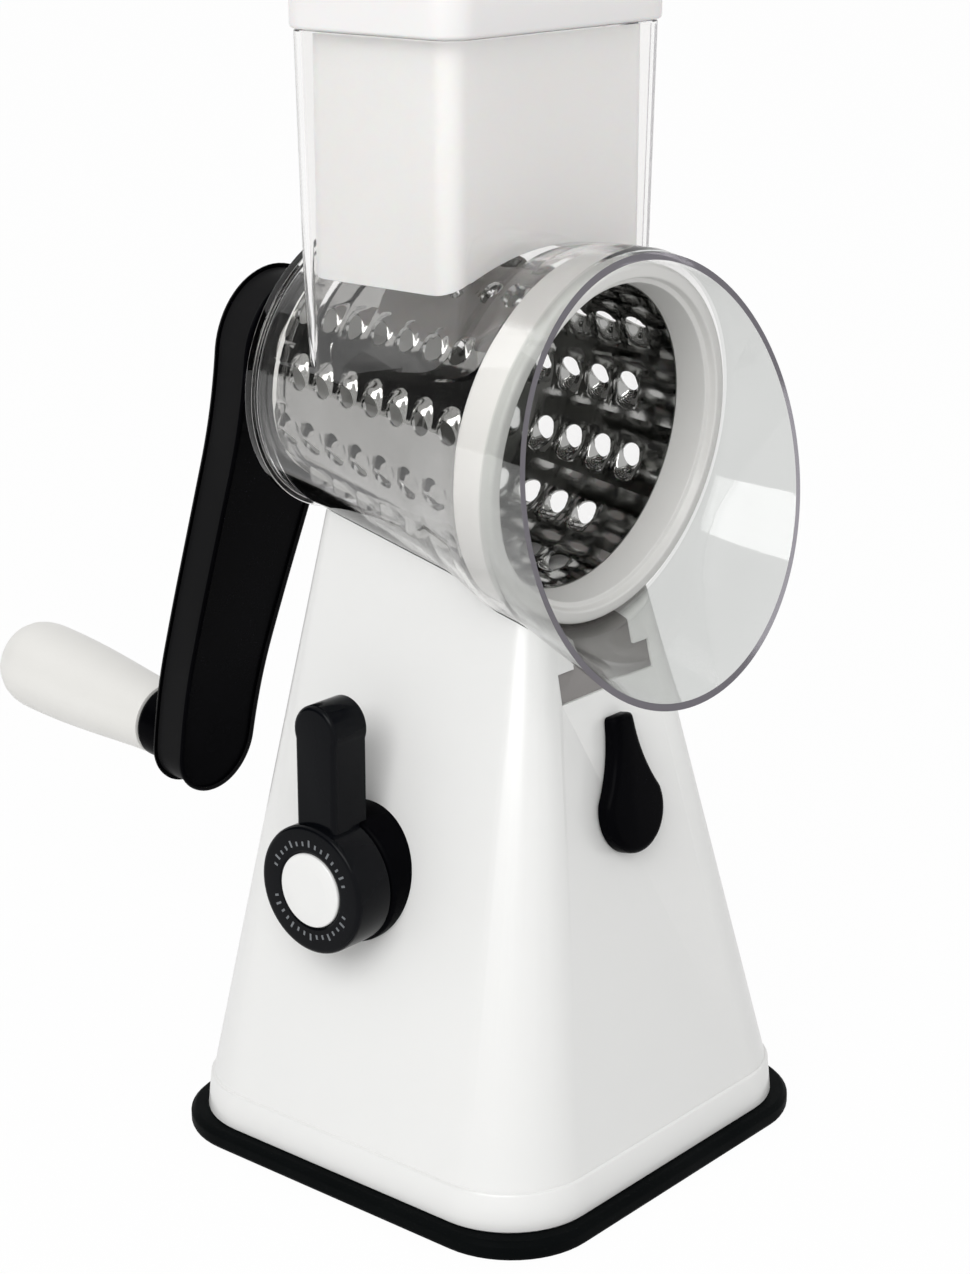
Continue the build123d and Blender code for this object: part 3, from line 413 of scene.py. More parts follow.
def clouded(nodes, links, cloud, colour, other, shader):
    """The base colour, drifting between two colours with a noise."""
    ramp = nodes.new("ShaderNodeMix")
    ramp.data_type = "RGBA"
    put(ramp, {"A": (*colour, 1), "B": (*other, 1)})
    links.new(spread(nodes, links, cloud, 0, 1), ramp.inputs["Factor"])
    links.new(ramp.outputs["Result"], shader.inputs["Base Color"])


def bumped(nodes, links, texture, strength, height, shader):
    bump = nodes.new("ShaderNodeBump")
    put(bump, {"Strength": strength, "Distance": height})
    links.new(texture.outputs["Fac"], bump.inputs["Height"])
    links.new(bump.outputs["Normal"], shader.inputs["Normal"])


def mixed(nodes, links, share, first, second):
    """The material's surface: a share of the second shader, the first for the rest."""
    mixer = nodes.new("ShaderNodeMixShader")
    for socket, output in zip(mixer.inputs, (share, first, second)):
        links.new(output, socket)
    links.new(mixer.outputs["Shader"], nodes["Material Output"].inputs["Surface"])


def plastic(name, colour, other, rough_low, rough_high, grain=900.0, grain_height=0.00002, coat=0.0,
            subsurface=0.0, specular=0.5, glow=0.0):
    """Moulded plastic: a faint cloud of colour, uneven gloss and a fine grain; glow is painted light, an
    emission in the plastic's own colour.
    """
    material, nodes, links, shader = new_material(name)
    cloud = noise(nodes, 28.0, 2.0)
    patches = noise(nodes, 75.0, 4.0)
    fine = noise(nodes, grain, 2.0)
    object_space(nodes, links, cloud, patches, fine)
    clouded(nodes, links, cloud, colour, other, shader)
    links.new(spread(nodes, links, patches, rough_low, rough_high), shader.inputs["Roughness"])
    bumped(nodes, links, fine, 0.6, grain_height, shader)
    # the emission is painted light: with glow the plastic shines though it is no lamp
    put(shader, {"Coat Weight": coat, "Coat Roughness": 0.06, "IOR": 1.5, "Specular IOR Level": specular,
                 "Emission Color": (*colour, 1), "Emission Strength": glow,
                 "Subsurface Weight": subsurface, "Subsurface Scale": 0.004})
    return material


def clear_plastic(name, colour, other, rough_low=0.02, rough_high=0.06, clarity=1.0, passed=0.87):
    """Clear moulded plastic that lets a share of the lamps' light through to what it encloses."""
    material, nodes, links, shader = new_material(name)
    cloud = noise(nodes, 22.0, 2.0)
    flow = noise(nodes, 60.0, 2.0)
    object_space(nodes, links, cloud, flow)
    clouded(nodes, links, cloud, colour, other, shader)
    links.new(spread(nodes, links, flow, rough_low, rough_high), shader.inputs["Roughness"])
    bumped(nodes, links, flow, 0.25, 0.0002, shader)
    put(shader, {"Transmission Weight": clarity, "IOR": 1.46})
    path = nodes.new("ShaderNodeLightPath")
    through = nodes.new("ShaderNodeBsdfTransparent")
    put(through, {"Color": (passed, passed, passed, 1)})
    mixed(nodes, links, path.outputs["Is Shadow Ray"], shader.outputs["BSDF"], through.outputs["BSDF"])
    return material


def steel(name, colour, other, rough_low, rough_high, stretch=(1, 1, 1)):
    """Stamped or turned steel with fine drawn marks."""
    material, nodes, links, shader = new_material(name)
    marks = noise(nodes, 160.0, 4.0, 0.6)
    cloud = noise(nodes, 40.0)
    drawn = nodes.new("ShaderNodeMapping")
    put(drawn, {"Scale": stretch})
    object_space(nodes, links, drawn, cloud)
    links.new(drawn.outputs["Vector"], marks.inputs["Vector"])
    clouded(nodes, links, cloud, colour, other, shader)
    links.new(spread(nodes, links, marks, rough_low, rough_high), shader.inputs["Roughness"])
    bumped(nodes, links, marks, 0.4, 0.00002, shader)
    put(shader, {"Metallic": 1.0})
    return material


WHITE = plastic("white_plastic", (0.800, 0.800, 0.788), (0.795, 0.795, 0.783), 0.28, 0.32, coat=0.1)
RING_WHITE = plastic("ring_plastic", (0.69, 0.685, 0.665), (0.675, 0.67, 0.65), 0.3, 0.42)
GRIP_WHITE = plastic("grip_plastic", (0.80, 0.79, 0.76), (0.78, 0.77, 0.74), 0.3, 0.42)
# The pusher's body and cap glow with painted light, which evens out their lit and shaded sides.
MILKY = plastic("milky_plastic", (0.93, 0.92, 0.91), (0.92, 0.91, 0.90), 0.3, 0.42, subsurface=0.2,
                glow=0.13)
LID_MILKY = plastic("lid_plastic_painted_glow", (0.73, 0.725, 0.72), (0.72, 0.715, 0.71), 0.3, 0.42, subsurface=0.2,
                    glow=0.13)
BLACK = plastic("black_plastic", (0.0010, 0.0010, 0.0015), (0.0018, 0.0018, 0.0025), 0.2, 0.3,
                specular=0.012)
LEVER_BLACK = plastic("lever_plastic", (0.0022, 0.0026, 0.0036), (0.0034, 0.0038, 0.0050), 0.12, 0.18,
                      specular=0.075)
# The crank arm's sides take a lighter black: painted sheen, the light that falls on them drawn into their
# colour.
ARM_SIDE_SHEEN = plastic("arm_side_painted_sheen", (0.0100, 0.0100, 0.0105), (0.0125, 0.0125, 0.0130), 0.3, 0.4,
                   specular=0.012)
RUBBER = plastic("foot_rubber", (0.0025, 0.0032, 0.0034), (0.0042, 0.0050, 0.0052), 0.38, 0.55, 1400.0,
                 0.00004, specular=0.012)
INNER = plastic("inner_plastic", (0.62, 0.62, 0.60), (0.58, 0.58, 0.56), 0.4, 0.55)
TICKS = plastic("tick_paint", (0.16, 0.17, 0.18), (0.12, 0.13, 0.14), 0.4, 0.5)
CLEAR = clear_plastic("clear_plastic", (0.965, 0.96, 0.955), (0.945, 0.94, 0.935))
CLEAR_CHUTE = clear_plastic("clear_chute", (0.975, 0.97, 0.965), (0.955, 0.95, 0.945), passed=0.25)
# The funnel's grey and the dark line of the rim's cut face and the chute's corner are painted shade on the
# housing's one clear plastic.
CLEAR_FUNNEL_SHADED = clear_plastic("clear_funnel_painted_shade", (0.69, 0.70, 0.69), (0.66, 0.67, 0.66), passed=0.96)
CLEAR_EDGE_SHADED = clear_plastic("clear_edge_painted_shade", (0.27, 0.25, 0.29), (0.22, 0.20, 0.24), 0.12, 0.2, 0.5)
# The rail's grey is painted shade: the clear rail drawn dark where it sits in the pedestal's slot.
CLEAR_RAIL_SHADED = clear_plastic("clear_rail_painted_shade", (0.42, 0.40, 0.39), (0.34, 0.32, 0.31), 0.12, 0.2, 0.4)
DRUM_STEEL = steel("drum_steel", (0.42, 0.42, 0.41), (0.32, 0.32, 0.31), 0.03, 0.09)
PIN_STEEL = steel("pin_steel", (0.55, 0.55, 0.56), (0.48, 0.48, 0.49), 0.2, 0.35, (1, 1, 8))


def dress(obj, material, body):
    """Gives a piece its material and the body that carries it."""
    if material is not None:
        obj.data.materials.clear()
        obj.data.materials.append(material)
    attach(obj, body)
    return obj


# ================================ pedestal
def taper(z):
    return (z - SKIRT_TOP) / (NECK_Z - SKIRT_TOP)


def body_ring(z, inset):
    share = taper(z)
    half_x = BODY_HALF_LOW + (NECK_HALF_X - BODY_HALF_LOW) * share - inset
    front = BODY_HALF_LOW + (NECK_FRONT - BODY_HALF_LOW) * share - inset
    back = BODY_HALF_LOW + (NECK_BACK - BODY_HALF_LOW) * share - inset
    corner = BODY_CORNER_LOW + (NECK_CORNER - BODY_CORNER_LOW) * share - inset
    return rounded_rectangle(half_x, -front, back, max(corner, 0.4), z)


def barrel_solid(name, grow):
    """The barrel's outside, grown by a gap and run on past both its ends."""
    over = 18.0
    flare = 0.3
    profile = rounded([
        (0.0, BARREL_BACK - over),
        (BARREL_BACK_RADIUS + grow, BARREL_BACK - over),
        (BARREL_BACK_RADIUS + grow, BARREL_BACK),
        (BARREL_WAIST_RADIUS + grow, BARREL_WAIST),
        (BARREL_SHOULDER_RADIUS + grow, BARREL_SHOULDER),
        (BARREL_FRONT_RADIUS + grow, BARREL_FRONT),
        (BARREL_FRONT_RADIUS + grow + flare * over, BARREL_FRONT + over),
        (0.0, BARREL_FRONT + over),
    ], [0, 0, 0, 30, 20, 20, 0, 0])
    return moved(turned(name, profile, closed=False), axis_frame())


def block(name, x_low, x_high, y_low, y_high, z_low, z_high):
    verts = [(x, y, z) for z in (z_low, z_high) for y in (y_low, y_high) for x in (x_low, x_high)]
    faces = [(0, 1, 3, 2), (4, 5, 7, 6), (0, 1, 5, 4), (2, 3, 7, 6), (0, 2, 6, 4), (1, 3, 7, 5)]
    return mesh_object(name, verts, faces)


def make_pedestal():
    """The white shell: skirt, crease, ruled taper, saddle for the barrel and slot for its rail."""
    lip = 0.5
    bead = 0.35
    levels = [
        rounded_square(SKIRT_HALF_LOW - lip, SKIRT_CORNER - lip, FOOT_HEIGHT),
        rounded_square(SKIRT_HALF_LOW, SKIRT_CORNER, FOOT_HEIGHT + lip),
        rounded_square(SKIRT_HALF_HIGH + bead / 4, SKIRT_CORNER, SKIRT_TOP - 2 * bead),
        rounded_square(SKIRT_HALF_HIGH - bead / 2, SKIRT_CORNER, SKIRT_TOP - bead / 2),
        body_ring(SKIRT_TOP, 0.15),
        body_ring(SKIRT_TOP + bead, 0.05),
    ]
    straight = SKIRT_TOP + 2 * bead
    steps = 14
    for step in range(steps + 1):
        levels.append(body_ring(straight + (BODY_TOP - straight) * step / steps, 0))
    shell = loft("pedestal", levels)
    hollow_low = rounded_square(BODY_HALF_LOW - SHELL_WALL, BODY_CORNER_LOW - SHELL_WALL, -1)
    hollow = loft("hollow", [hollow_low, body_ring(SKIRT_TOP, SHELL_WALL), body_ring(BODY_TOP, SHELL_WALL)])
    boolean(hollow, barrel_solid("cut", SHELL_WALL), "DIFFERENCE")
    ears = RAIL_HALF_WIDTH + SLOT_GAP
    neck = RAIL_NECK_HALF + SLOT_GAP
    back = RAIL_BACK + SLOT_GAP
    low = RAIL_BOTTOM - 0.2
    side = ears + SHELL_WALL
    boolean(hollow, block("cut", -side, side, -FOOT_HALF, back + SHELL_WALL, low - SHELL_WALL,
                          BODY_TOP + 1), "DIFFERENCE")
    boolean(shell, hollow, "DIFFERENCE")
    boolean(shell, barrel_solid("cut", 0.2), "DIFFERENCE")
    boolean(shell, block("cut", -ears, ears, -2 * FOOT_HALF, back, low,
                         RAIL_BOTTOM + RAIL_HEIGHT + SLOT_GAP), "DIFFERENCE")
    boolean(shell, block("cut", -neck, neck, -2 * FOOT_HALF, back, low, BODY_TOP + 2), "DIFFERENCE")
    soften(shell, 0.35, 2)
    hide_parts("base_shell")
    return dress(shell, WHITE, "base")


def make_foot():
    """The black rubber foot: a rounded band with a round mouth."""
    outline = rounded([
        (3.0, 0.0), (0.5, 0.0), (0.0, 1.2), (0.0, 4.1), (1.4, FOOT_HEIGHT), (5.0, FOOT_HEIGHT),
    ], [0, 1.0, 1.2, 1.2, 1.0, 0], 4, closed=False)
    rings = [rounded_square(FOOT_HALF - inset, FOOT_CORNER - inset, z) for inset, z in outline]
    foot = loft("rubber_foot_skin", rings)
    boolean(foot, cylinder(FOOT_MOUTH_RADIUS, -2.0, 9.0), "DIFFERENCE")
    shade(foot)
    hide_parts("rubber_foot")
    return dress(foot, RUBBER, "base")


# ================================ clear housing
HOUSING_NODES = ("feed_barrel", "feed_saddle", "feed_chute", "feed_funnel", "shaft_boss")
HOUSING_LOOKS = (CLEAR, CLEAR_FUNNEL_SHADED, CLEAR_EDGE_SHADED, CLEAR_CHUTE)
FUNNEL_SHADE_LOOK, EDGE_SHADE_LOOK, CHUTE_LOOK = 1, 2, 3    # places in HOUSING_LOOKS


def chute_ring(z, inset):
    grow = (z - CHUTE_WAIST) * tan(CHUTE_DRAFT) if z > CHUTE_WAIST else 0.0
    half_x = CHUTE_HALF_X + grow - inset
    half_y = CHUTE_HALF_Y + grow - inset
    if z < CHUTE_WAIST:
        share = (CHUTE_WAIST - z) / (CHUTE_WAIST - CHUTE_ROOT)
        half_x -= (CHUTE_HALF_X - CHUTE_ROOT_HALF_X) * share
    return rounded_rectangle(half_x, CHUTE_CENTRE_Y - half_y, CHUTE_CENTRE_Y + half_y,
                             CHUTE_CORNER - inset, z, 10)


def chute_solid(name, inset, over):
    """The chute drawn in by a wall; without a run over its top, the rim is rounded."""
    bend = 6
    rim = 0.3
    levels = [chute_ring(z, inset) for z in (CHUTE_ROOT, CHUTE_WAIST - bend, CHUTE_WAIST,
                                             CHUTE_WAIST + bend, CHUTE_TOP - 1)]
    if over:
        levels.append(chute_ring(CHUTE_TOP + over, inset))
    else:
        levels.append(chute_ring(CHUTE_TOP - rim, inset))
        levels.append(chute_ring(CHUTE_TOP, inset + rim))
    return loft(name, levels)


def funnel_rings(inset):
    """Rings from the barrel's front edge to the funnel's tilted rim."""
    steps = 10
    along = axis_frame()
    up = Vector((0, sin(FUNNEL_RIM_TILT), cos(FUNNEL_RIM_TILT)))
    centre = Vector((0, FUNNEL_RIM_Y, FUNNEL_RIM_Z))
    rings = []
    for step in range(steps + 1):
        t = step / steps
        ring = []
        for i in range(AROUND):
            angle = 2 * pi * i / AROUND
            low = along @ (Vector((cos(angle), sin(angle), 0)) * (BARREL_FRONT_RADIUS - inset) * MM
                           + Vector((0, 0, BARREL_FRONT * MM)))
            high = centre + (Vector((1, 0, 0)) * cos(angle) + up * sin(angle)) * (FUNNEL_RIM_RADIUS - inset)
            ring.append(tuple(low / MM * (1 - t) + high * t))
        rings.append(ring)
    return rings


def barrel_radius(station):
    """The barrel's outside between its back and its waist."""
    share = (station - BARREL_BACK) / (BARREL_WAIST - BARREL_BACK)
    return BARREL_BACK_RADIUS + (BARREL_WAIST_RADIUS - BARREL_BACK_RADIUS) * share


def bowl(name, inset, head, head_radii, extra):
    """The barrel and the funnel as one closed solid, drawn in by a wall, behind it a stepped head."""
    back = head[-1][1]
    profile = rounded(head + [
        (barrel_radius(back) - inset, back),
        (BARREL_WAIST_RADIUS - inset, BARREL_WAIST),
        (BARREL_SHOULDER_RADIUS - inset, BARREL_SHOULDER),
        (BARREL_FRONT_RADIUS - inset, BARREL_FRONT),
    ], head_radii + [0.3, 40, 24, 0], 8, closed=False)
    along = axis_frame()
    rings = [[tuple(along @ (Vector((0, 0, profile[0][1])) * MM) / MM)]]
    for radius, station in profile:
        rings.append([tuple(along @ (Vector(p) * MM) / MM) for p in circle(radius, station)])
    rings += funnel_rings(inset)[1:]
    if extra:
        last = [Vector(p) for p in rings[-1]]
        before = [Vector(p) for p in rings[-2]]
        rings.append([tuple(p + (p - q).normalized() * extra) for p, q in zip(last, before)])
    verts, faces = bridge(rings, cap_last=True)
    return mesh_object(name, verts, faces)


def make_housing():
    """Barrel, chute, funnel and rear boss, hollowed out with an even wall."""
    boss_back = BARREL_BACK - BOSS_LENGTH
    rim_front = BARREL_BACK + BACK_RIM_WIDTH
    edge = 0.5
    outside = bowl("housing_skin", 0.0, [
        (BOSS_RADIUS, boss_back), (BOSS_RADIUS, BARREL_BACK), (BACK_RIM_RADIUS, BARREL_BACK),
        (BACK_RIM_RADIUS, rim_front),
    ], [edge, edge, edge, edge], 0.0)
    boolean(outside, chute_solid("part", 0.0, 0.0), "UNION")
    inside = bowl("cut", HOUSING_WALL, [
        (BUSH_RADIUS, boss_back - 1), (BUSH_RADIUS, BARREL_BACK + BACK_WALL),
    ], [0, 0], 1.0)
    boolean(inside, chute_solid("part", HOUSING_WALL, 1.0), "UNION")
    boolean(outside, inside, "DIFFERENCE")
    with edited(outside.data) as bm:
        bmesh.ops.remove_doubles(bm, verts=bm.verts, dist=0.005 * MM)
        bmesh.ops.dissolve_degenerate(bm, edges=bm.edges, dist=0.01 * MM)
    outside.data.materials.clear()
    for material in HOUSING_LOOKS:
        outside.data.materials.append(material)
    mark_walls(outside)
    shade(outside, 30)
    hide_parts(*HOUSING_NODES)
    return dress(outside, None, "base")


def mark_walls(obj):
    """Paints shade on the housing: grey on the funnel and a dark line on the rim's cut face and on the
    chute's far corner; the chute gets its own clear plastic, which lets less lamp light through.
    """
    normal = Vector((0, -cos(FUNNEL_RIM_TILT), sin(FUNNEL_RIM_TILT)))
    centre = Vector((0, FUNNEL_RIM_Y, FUNNEL_RIM_Z)) * MM
    ahead = Vector((0, -cos(AXIS_TILT), -sin(AXIS_TILT)))
    root = Vector((0, 0, AXIS_Z)) * MM + ahead * BARREL_FRONT * MM
    corner_x = CHUTE_HALF_X - CHUTE_CORNER
    corner_y = CHUTE_CENTRE_Y - CHUTE_HALF_Y + CHUTE_CORNER
    for face in obj.data.polygons:
        x, y, z = face.center / MM
        bearing = degrees(atan2(y - corner_y, x - corner_x))
        inner = hypot(x - corner_x, y - corner_y) < CHUTE_CORNER - 0.5 * HOUSING_WALL
        # the rim's cut face: a painted dark line of shade
        if abs((face.center - centre).dot(normal)) < 0.2 * MM and abs(face.normal.dot(normal)) > 0.9:
            face.material_index = EDGE_SHADE_LOOK
        # the funnel: painted grey shade
        elif (face.center - root).dot(ahead) > 0:
            face.material_index = FUNNEL_SHADE_LOOK
        # the chute's inner front right corner: a painted dark line of shade
        elif z > CHUTE_WAIST + 7 and inner and CORNER_SHADE[0] < bearing < CORNER_SHADE[1]:
            face.material_index = EDGE_SHADE_LOOK
        elif z > CHUTE_WAIST:
            face.material_index = CHUTE_LOOK


def make_rail():
    """The T shaped rail under the barrel, cut to the pedestal's front face."""
    body = loft("part", [body_ring(z, RAIL_INSET) for z in (RAIL_BOTTOM - 4, BODY_TOP)])
    wide = block("bar", -RAIL_HALF_WIDTH, RAIL_HALF_WIDTH, -2 * FOOT_HALF, RAIL_BACK, RAIL_BOTTOM,
                 RAIL_BOTTOM + RAIL_HEIGHT)
    narrow = block("stem", -RAIL_NECK_HALF, RAIL_NECK_HALF, -2 * FOOT_HALF, RAIL_BACK, RAIL_BOTTOM,
                   BODY_TOP - 1)
    boolean(wide, narrow, "UNION")
    boolean(wide, body, "INTERSECT")
    boolean(wide, barrel_solid("cut", 0.0), "DIFFERENCE")
    wide.name = "housing_rail_skin"
    soften(wide, 0.3, 2)
    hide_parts("housing_rail")
    # the rail's clear plastic carries the painted shade of its slot
    return dress(wide, CLEAR_RAIL_SHADED, "base")


# ================================ drum
def drum_radius(station):
    return DRUM_MID_RADIUS + DRUM_FLARE * station


def drum_point(station, angle, height):
    radius = drum_radius(station) + height
    return (radius * cos(angle), radius * sin(angle), station)


def tooth_point(across, along, station, angle):
    """A point of the sheet near a tooth: across runs along the drum, along runs round it."""
    size = hypot(across / TOOTH_HALF_WIDTH, along / TOOTH_HALF_LENGTH)
    facing = -along / TOOTH_HALF_LENGTH / max(size, 1e-6)
    rise = max(0.0, (facing + 0.3) / 1.3) ** 0.9
    reach = 0.35 + (TOOTH_REACH - 1.35) * max(facing, 0.0) ** 3
    fade = max(0.0, 1 - (size - 1) / reach)
    height = TOOTH_LIFT * rise * fade * fade * (3 - 2 * fade)
    return drum_point(station + across, angle + along / drum_radius(station), height)


def make_drum():
    """Perforated sheet: each cell has a hole with a hood raised over its upper edge."""
    verts = []
    faces = []
    step = 2 * pi / TOOTH_ROWS
    half = TOOTH_PITCH / 2
    side_steps = 7
    for row in range(TOOTH_ROWS):
        shift = -(row % 2) * half
        base_angle = TOOTH_TURN + row * step
        for column in range(TEETH_PER_ROW):
            station = TOOTH_FIRST + shift + column * TOOTH_PITCH
            add_cell(verts, faces, station, base_angle, half, step / 2, side_steps)
        low_edge = TOOTH_FIRST + shift - half
        high_edge = low_edge + TEETH_PER_ROW * TOOTH_PITCH
        add_strip(verts, faces, DRUM_BACK, low_edge, base_angle, step / 2, side_steps)
        add_strip(verts, faces, high_edge, DRUM_FRONT, base_angle, step / 2, side_steps)
    drum = mesh_object("drum_skin", verts, faces)
    with edited(drum.data) as bm:
        bmesh.ops.remove_doubles(bm, verts=bm.verts, dist=0.02 * MM)
        bmesh.ops.recalc_face_normals(bm, faces=bm.faces)
        if sum(face.normal.dot(face.calc_center_median() * Vector((1, 1, 0))) for face in bm.faces) < 0:
            bmesh.ops.reverse_faces(bm, faces=bm.faces)
    thick = drum.modifiers.new("sheet", "SOLIDIFY")
    thick.thickness = DRUM_SHEET * MM
    thick.offset = -1
    bake_modifiers(drum)
    shade(drum, 50)
    moved(drum, axis_frame())
    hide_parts("drum")
    return dress(drum, DRUM_STEEL, "rotor")


def add_cell(verts, faces, station, angle, half, half_turn, side_steps):
    """One tooth: rings from the hole's edge out to the cell's rectangle."""
    reach = half_turn * drum_radius(station)
    corners = ((half, -reach), (half, reach), (-half, reach), (-half, -reach), (half, -reach))
    border = []
    for (x0, y0), (x1, y1) in zip(corners, corners[1:]):
        for i in range(side_steps):
            border.append((x0 + (x1 - x0) * i / side_steps, y0 + (y1 - y0) * i / side_steps))
    count = len(border)
    start = len(verts)
    for ring in range(TOOTH_RINGS + 1):
        share = ring / TOOTH_RINGS
        for across, along in border:
            bearing = atan2(along / TOOTH_HALF_LENGTH, across / TOOTH_HALF_WIDTH)
            hole = (TOOTH_HALF_WIDTH * cos(bearing), TOOTH_HALF_LENGTH * sin(bearing))
            x = hole[0] * (1 - share) + across * share
            y = hole[1] * (1 - share) + along * share
            if ring == TOOTH_RINGS:
                verts.append(drum_point(station + across, angle + half_turn * along / reach, 0))
            else:
                verts.append(tooth_point(x, y, station, angle))
    for ring in range(TOOTH_RINGS):
        for i in range(count):
            j = (i + 1) % count
            a = start + ring * count
            faces.append((a + i, a + j, a + count + j, a + count + i))


def add_strip(verts, faces, low, high, angle, half_turn, side_steps):
    """A plain band of the sheet between two stations."""
    start = len(verts)
    for station in (low, high):
        for i in range(side_steps + 1):
            verts.append(drum_point(station, angle - half_turn + 2 * half_turn * i / side_steps, 0))
    for i in range(side_steps):
        a = start + i
        faces.append((a, a + 1, a + side_steps + 2, a + side_steps + 1))


def make_ring():
    """The white band round the mouth, with its stepped throat."""
    band = 2.2
    sleeve_back = 27.0
    sleeve = drum_radius(DRUM_FRONT) + band
    throat = drum_radius(DRUM_FRONT) + 0.1
    step = 2.2
    profile = rounded([
        (throat, sleeve_back),
        (sleeve, sleeve_back),
        (sleeve, RING_FRONT - band),
        (RING_RADIUS - band, RING_FRONT - band),
        (RING_RADIUS - band, RING_BACK),
        (RING_RADIUS, RING_BACK),
        (RING_RADIUS, RING_FRONT),
        (RING_MOUTH_RADIUS + 0.4, RING_FRONT),
        (RING_MOUTH_RADIUS - 0.2, RING_FRONT - step),
        (RING_MOUTH_RADIUS - 1.6, RING_FRONT - step - 0.4),
        (RING_THROAT_RADIUS, DRUM_FRONT + 0.1),
        (throat, DRUM_FRONT + 0.1),
    ], [0.3, 0.3, 0.3, 0.3, 0.4, 0.5, 1.4, 0.8, 0.5, 0.5, 0.4, 0.0], 4)
    ring = moved(turned("drum_ring_skin", profile), axis_frame())
    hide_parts("drum_ring")
    return dress(ring, RING_WHITE, "rotor")


# ================================ crank
def arm_bow(down):
    """How far back the arm stands at a distance below the drum axis."""
    knots = [
        (-4 * ARM_HUB_RADIUS, 0.0),
        (0.6 * ARM_HUB_RADIUS, 0.0),
        (0.72 * ARM_LENGTH, -0.78 * ARM_OFFSET),
        (ARM_LENGTH - 0.6 * ARM_END_RADIUS, -ARM_OFFSET),
        (ARM_LENGTH + 4 * ARM_END_RADIUS, -ARM_OFFSET),
    ]
    width = 22.0
    total = 0.0
    samples = 15
    for k in range(samples):
        place = down + width * (2 * k / (samples - 1) - 1)
        for (d0, s0), (d1, s1) in zip(knots, knots[1:]):
            if d0 <= place <= d1:
                total += s0 + (s1 - s0) * (place - d0) / (d1 - d0)
                break
    return total / samples


def arm_half_width(down, inset):
    """Half the arm's width where it is cut square at a distance below the axis."""
    hub = ARM_HUB_RADIUS - inset
    end = ARM_END_RADIUS - inset
    lean = (hub - end) / ARM_LENGTH
    rise = sqrt(1 - lean * lean)
    high = hub * lean
    low = ARM_LENGTH + end * lean
    if down < high:
        return sqrt(max(hub * hub - down * down, 0.0))
    if down > low:
        return sqrt(max(end * end - (down - ARM_LENGTH) ** 2, 0.0))
    share = (down - high) / (low - high)
    return (hub + (end - hub) * share) * rise


def arm_rows(inset):
    """Heights at which the arm is cut, close together at its round ends."""
    hub = ARM_HUB_RADIUS - inset
    end = ARM_END_RADIUS - inset
    rows = []
    turns = 16
    for i in range(turns + 1):
        rows.append(-hub * cos(pi / 2 * i / turns))
    spans = 36
    for i in range(1, spans):
        rows.append(ARM_LENGTH * i / spans)
    for i in range(turns + 1):
        rows.append(ARM_LENGTH + end * sin(pi / 2 * i / turns))
    return rows


def arm_outline(inset, station):
    """The arm's edge at one level, down its right side and up its left."""
    right = [(arm_half_width(down, inset), -down, station + arm_bow(down)) for down in arm_rows(inset)]
    return right + [(-x, y, z) for x, y, z in reversed(right)]


def add_arm_face(verts, faces, first, inset, station, ridge):
    """A grid over the outline whose points start at first, with a ridge along its middle."""
    columns = 8
    rows = arm_rows(inset)
    grid = []
    for r, down in enumerate(rows):
        line = [first + r]
        half = arm_half_width(down, inset)
        for c in range(1, columns):
            share = 1 - 2 * c / columns
            proud = 0.0
            if 0 < down < ARM_LENGTH:
                proud = ridge * (1 - abs(share)) * sin(pi * down / ARM_LENGTH)
            line.append(len(verts))
            verts.append((half * share, -down, station + arm_bow(down) - proud))
        grid.append(line + [first + 2 * len(rows) - 1 - r])
    for upper, lower in zip(grid, grid[1:]):
        for c in range(columns):
            faces.append((upper[c], upper[c + 1], lower[c + 1], lower[c]))


def make_crank_arm():
    """A flat arm with round ends, leaning back, with a soft ridge along its back."""
    layers = round_edge(1.3, 4)
    # the levels run side, face, face, side, so each face lies sunk within a thin lip
    levels = [(inset, ARM_FRONT - depth) for inset, depth in layers]
    levels += [(inset, ARM_FRONT - ARM_THICKNESS + depth) for inset, depth in reversed(layers)]
    verts, faces = bridge([arm_outline(*level) for level in levels])
    last = len(verts) - len(arm_outline(*levels[-1]))
    add_arm_face(verts, faces, 0, *levels[0], 0.0)
    add_arm_face(verts, faces, last, *levels[-1], 0.5)
    arm = mesh_object("crank_arm_skin", verts, faces)
    with edited(arm.data) as bm:
        bmesh.ops.remove_doubles(bm, verts=bm.verts, dist=0.02 * MM)
        bmesh.ops.recalc_face_normals(bm, faces=bm.faces)
        if bm.calc_volume(signed=True) < 0:
            bmesh.ops.reverse_faces(bm, faces=bm.faces)
    behind = ARM_FRONT - 2 * ARM_THICKNESS
    boolean(arm, cylinder(POCKET_RADIUS, behind, ARM_FRONT - ARM_THICKNESS + POCKET_DEPTH, 64), "DIFFERENCE")
    shade(arm, 40)
    dress(arm, BLACK, "rotor")
    # the arm's sides get the lighter black of painted sheen
    arm.data.materials.append(ARM_SIDE_SHEEN)
    for face in arm.data.polygons:
        if abs(face.normal.z) < 0.5:
            face.material_index = 1
    moved(arm, axis_frame())
    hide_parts("crank_arm")
    return arm


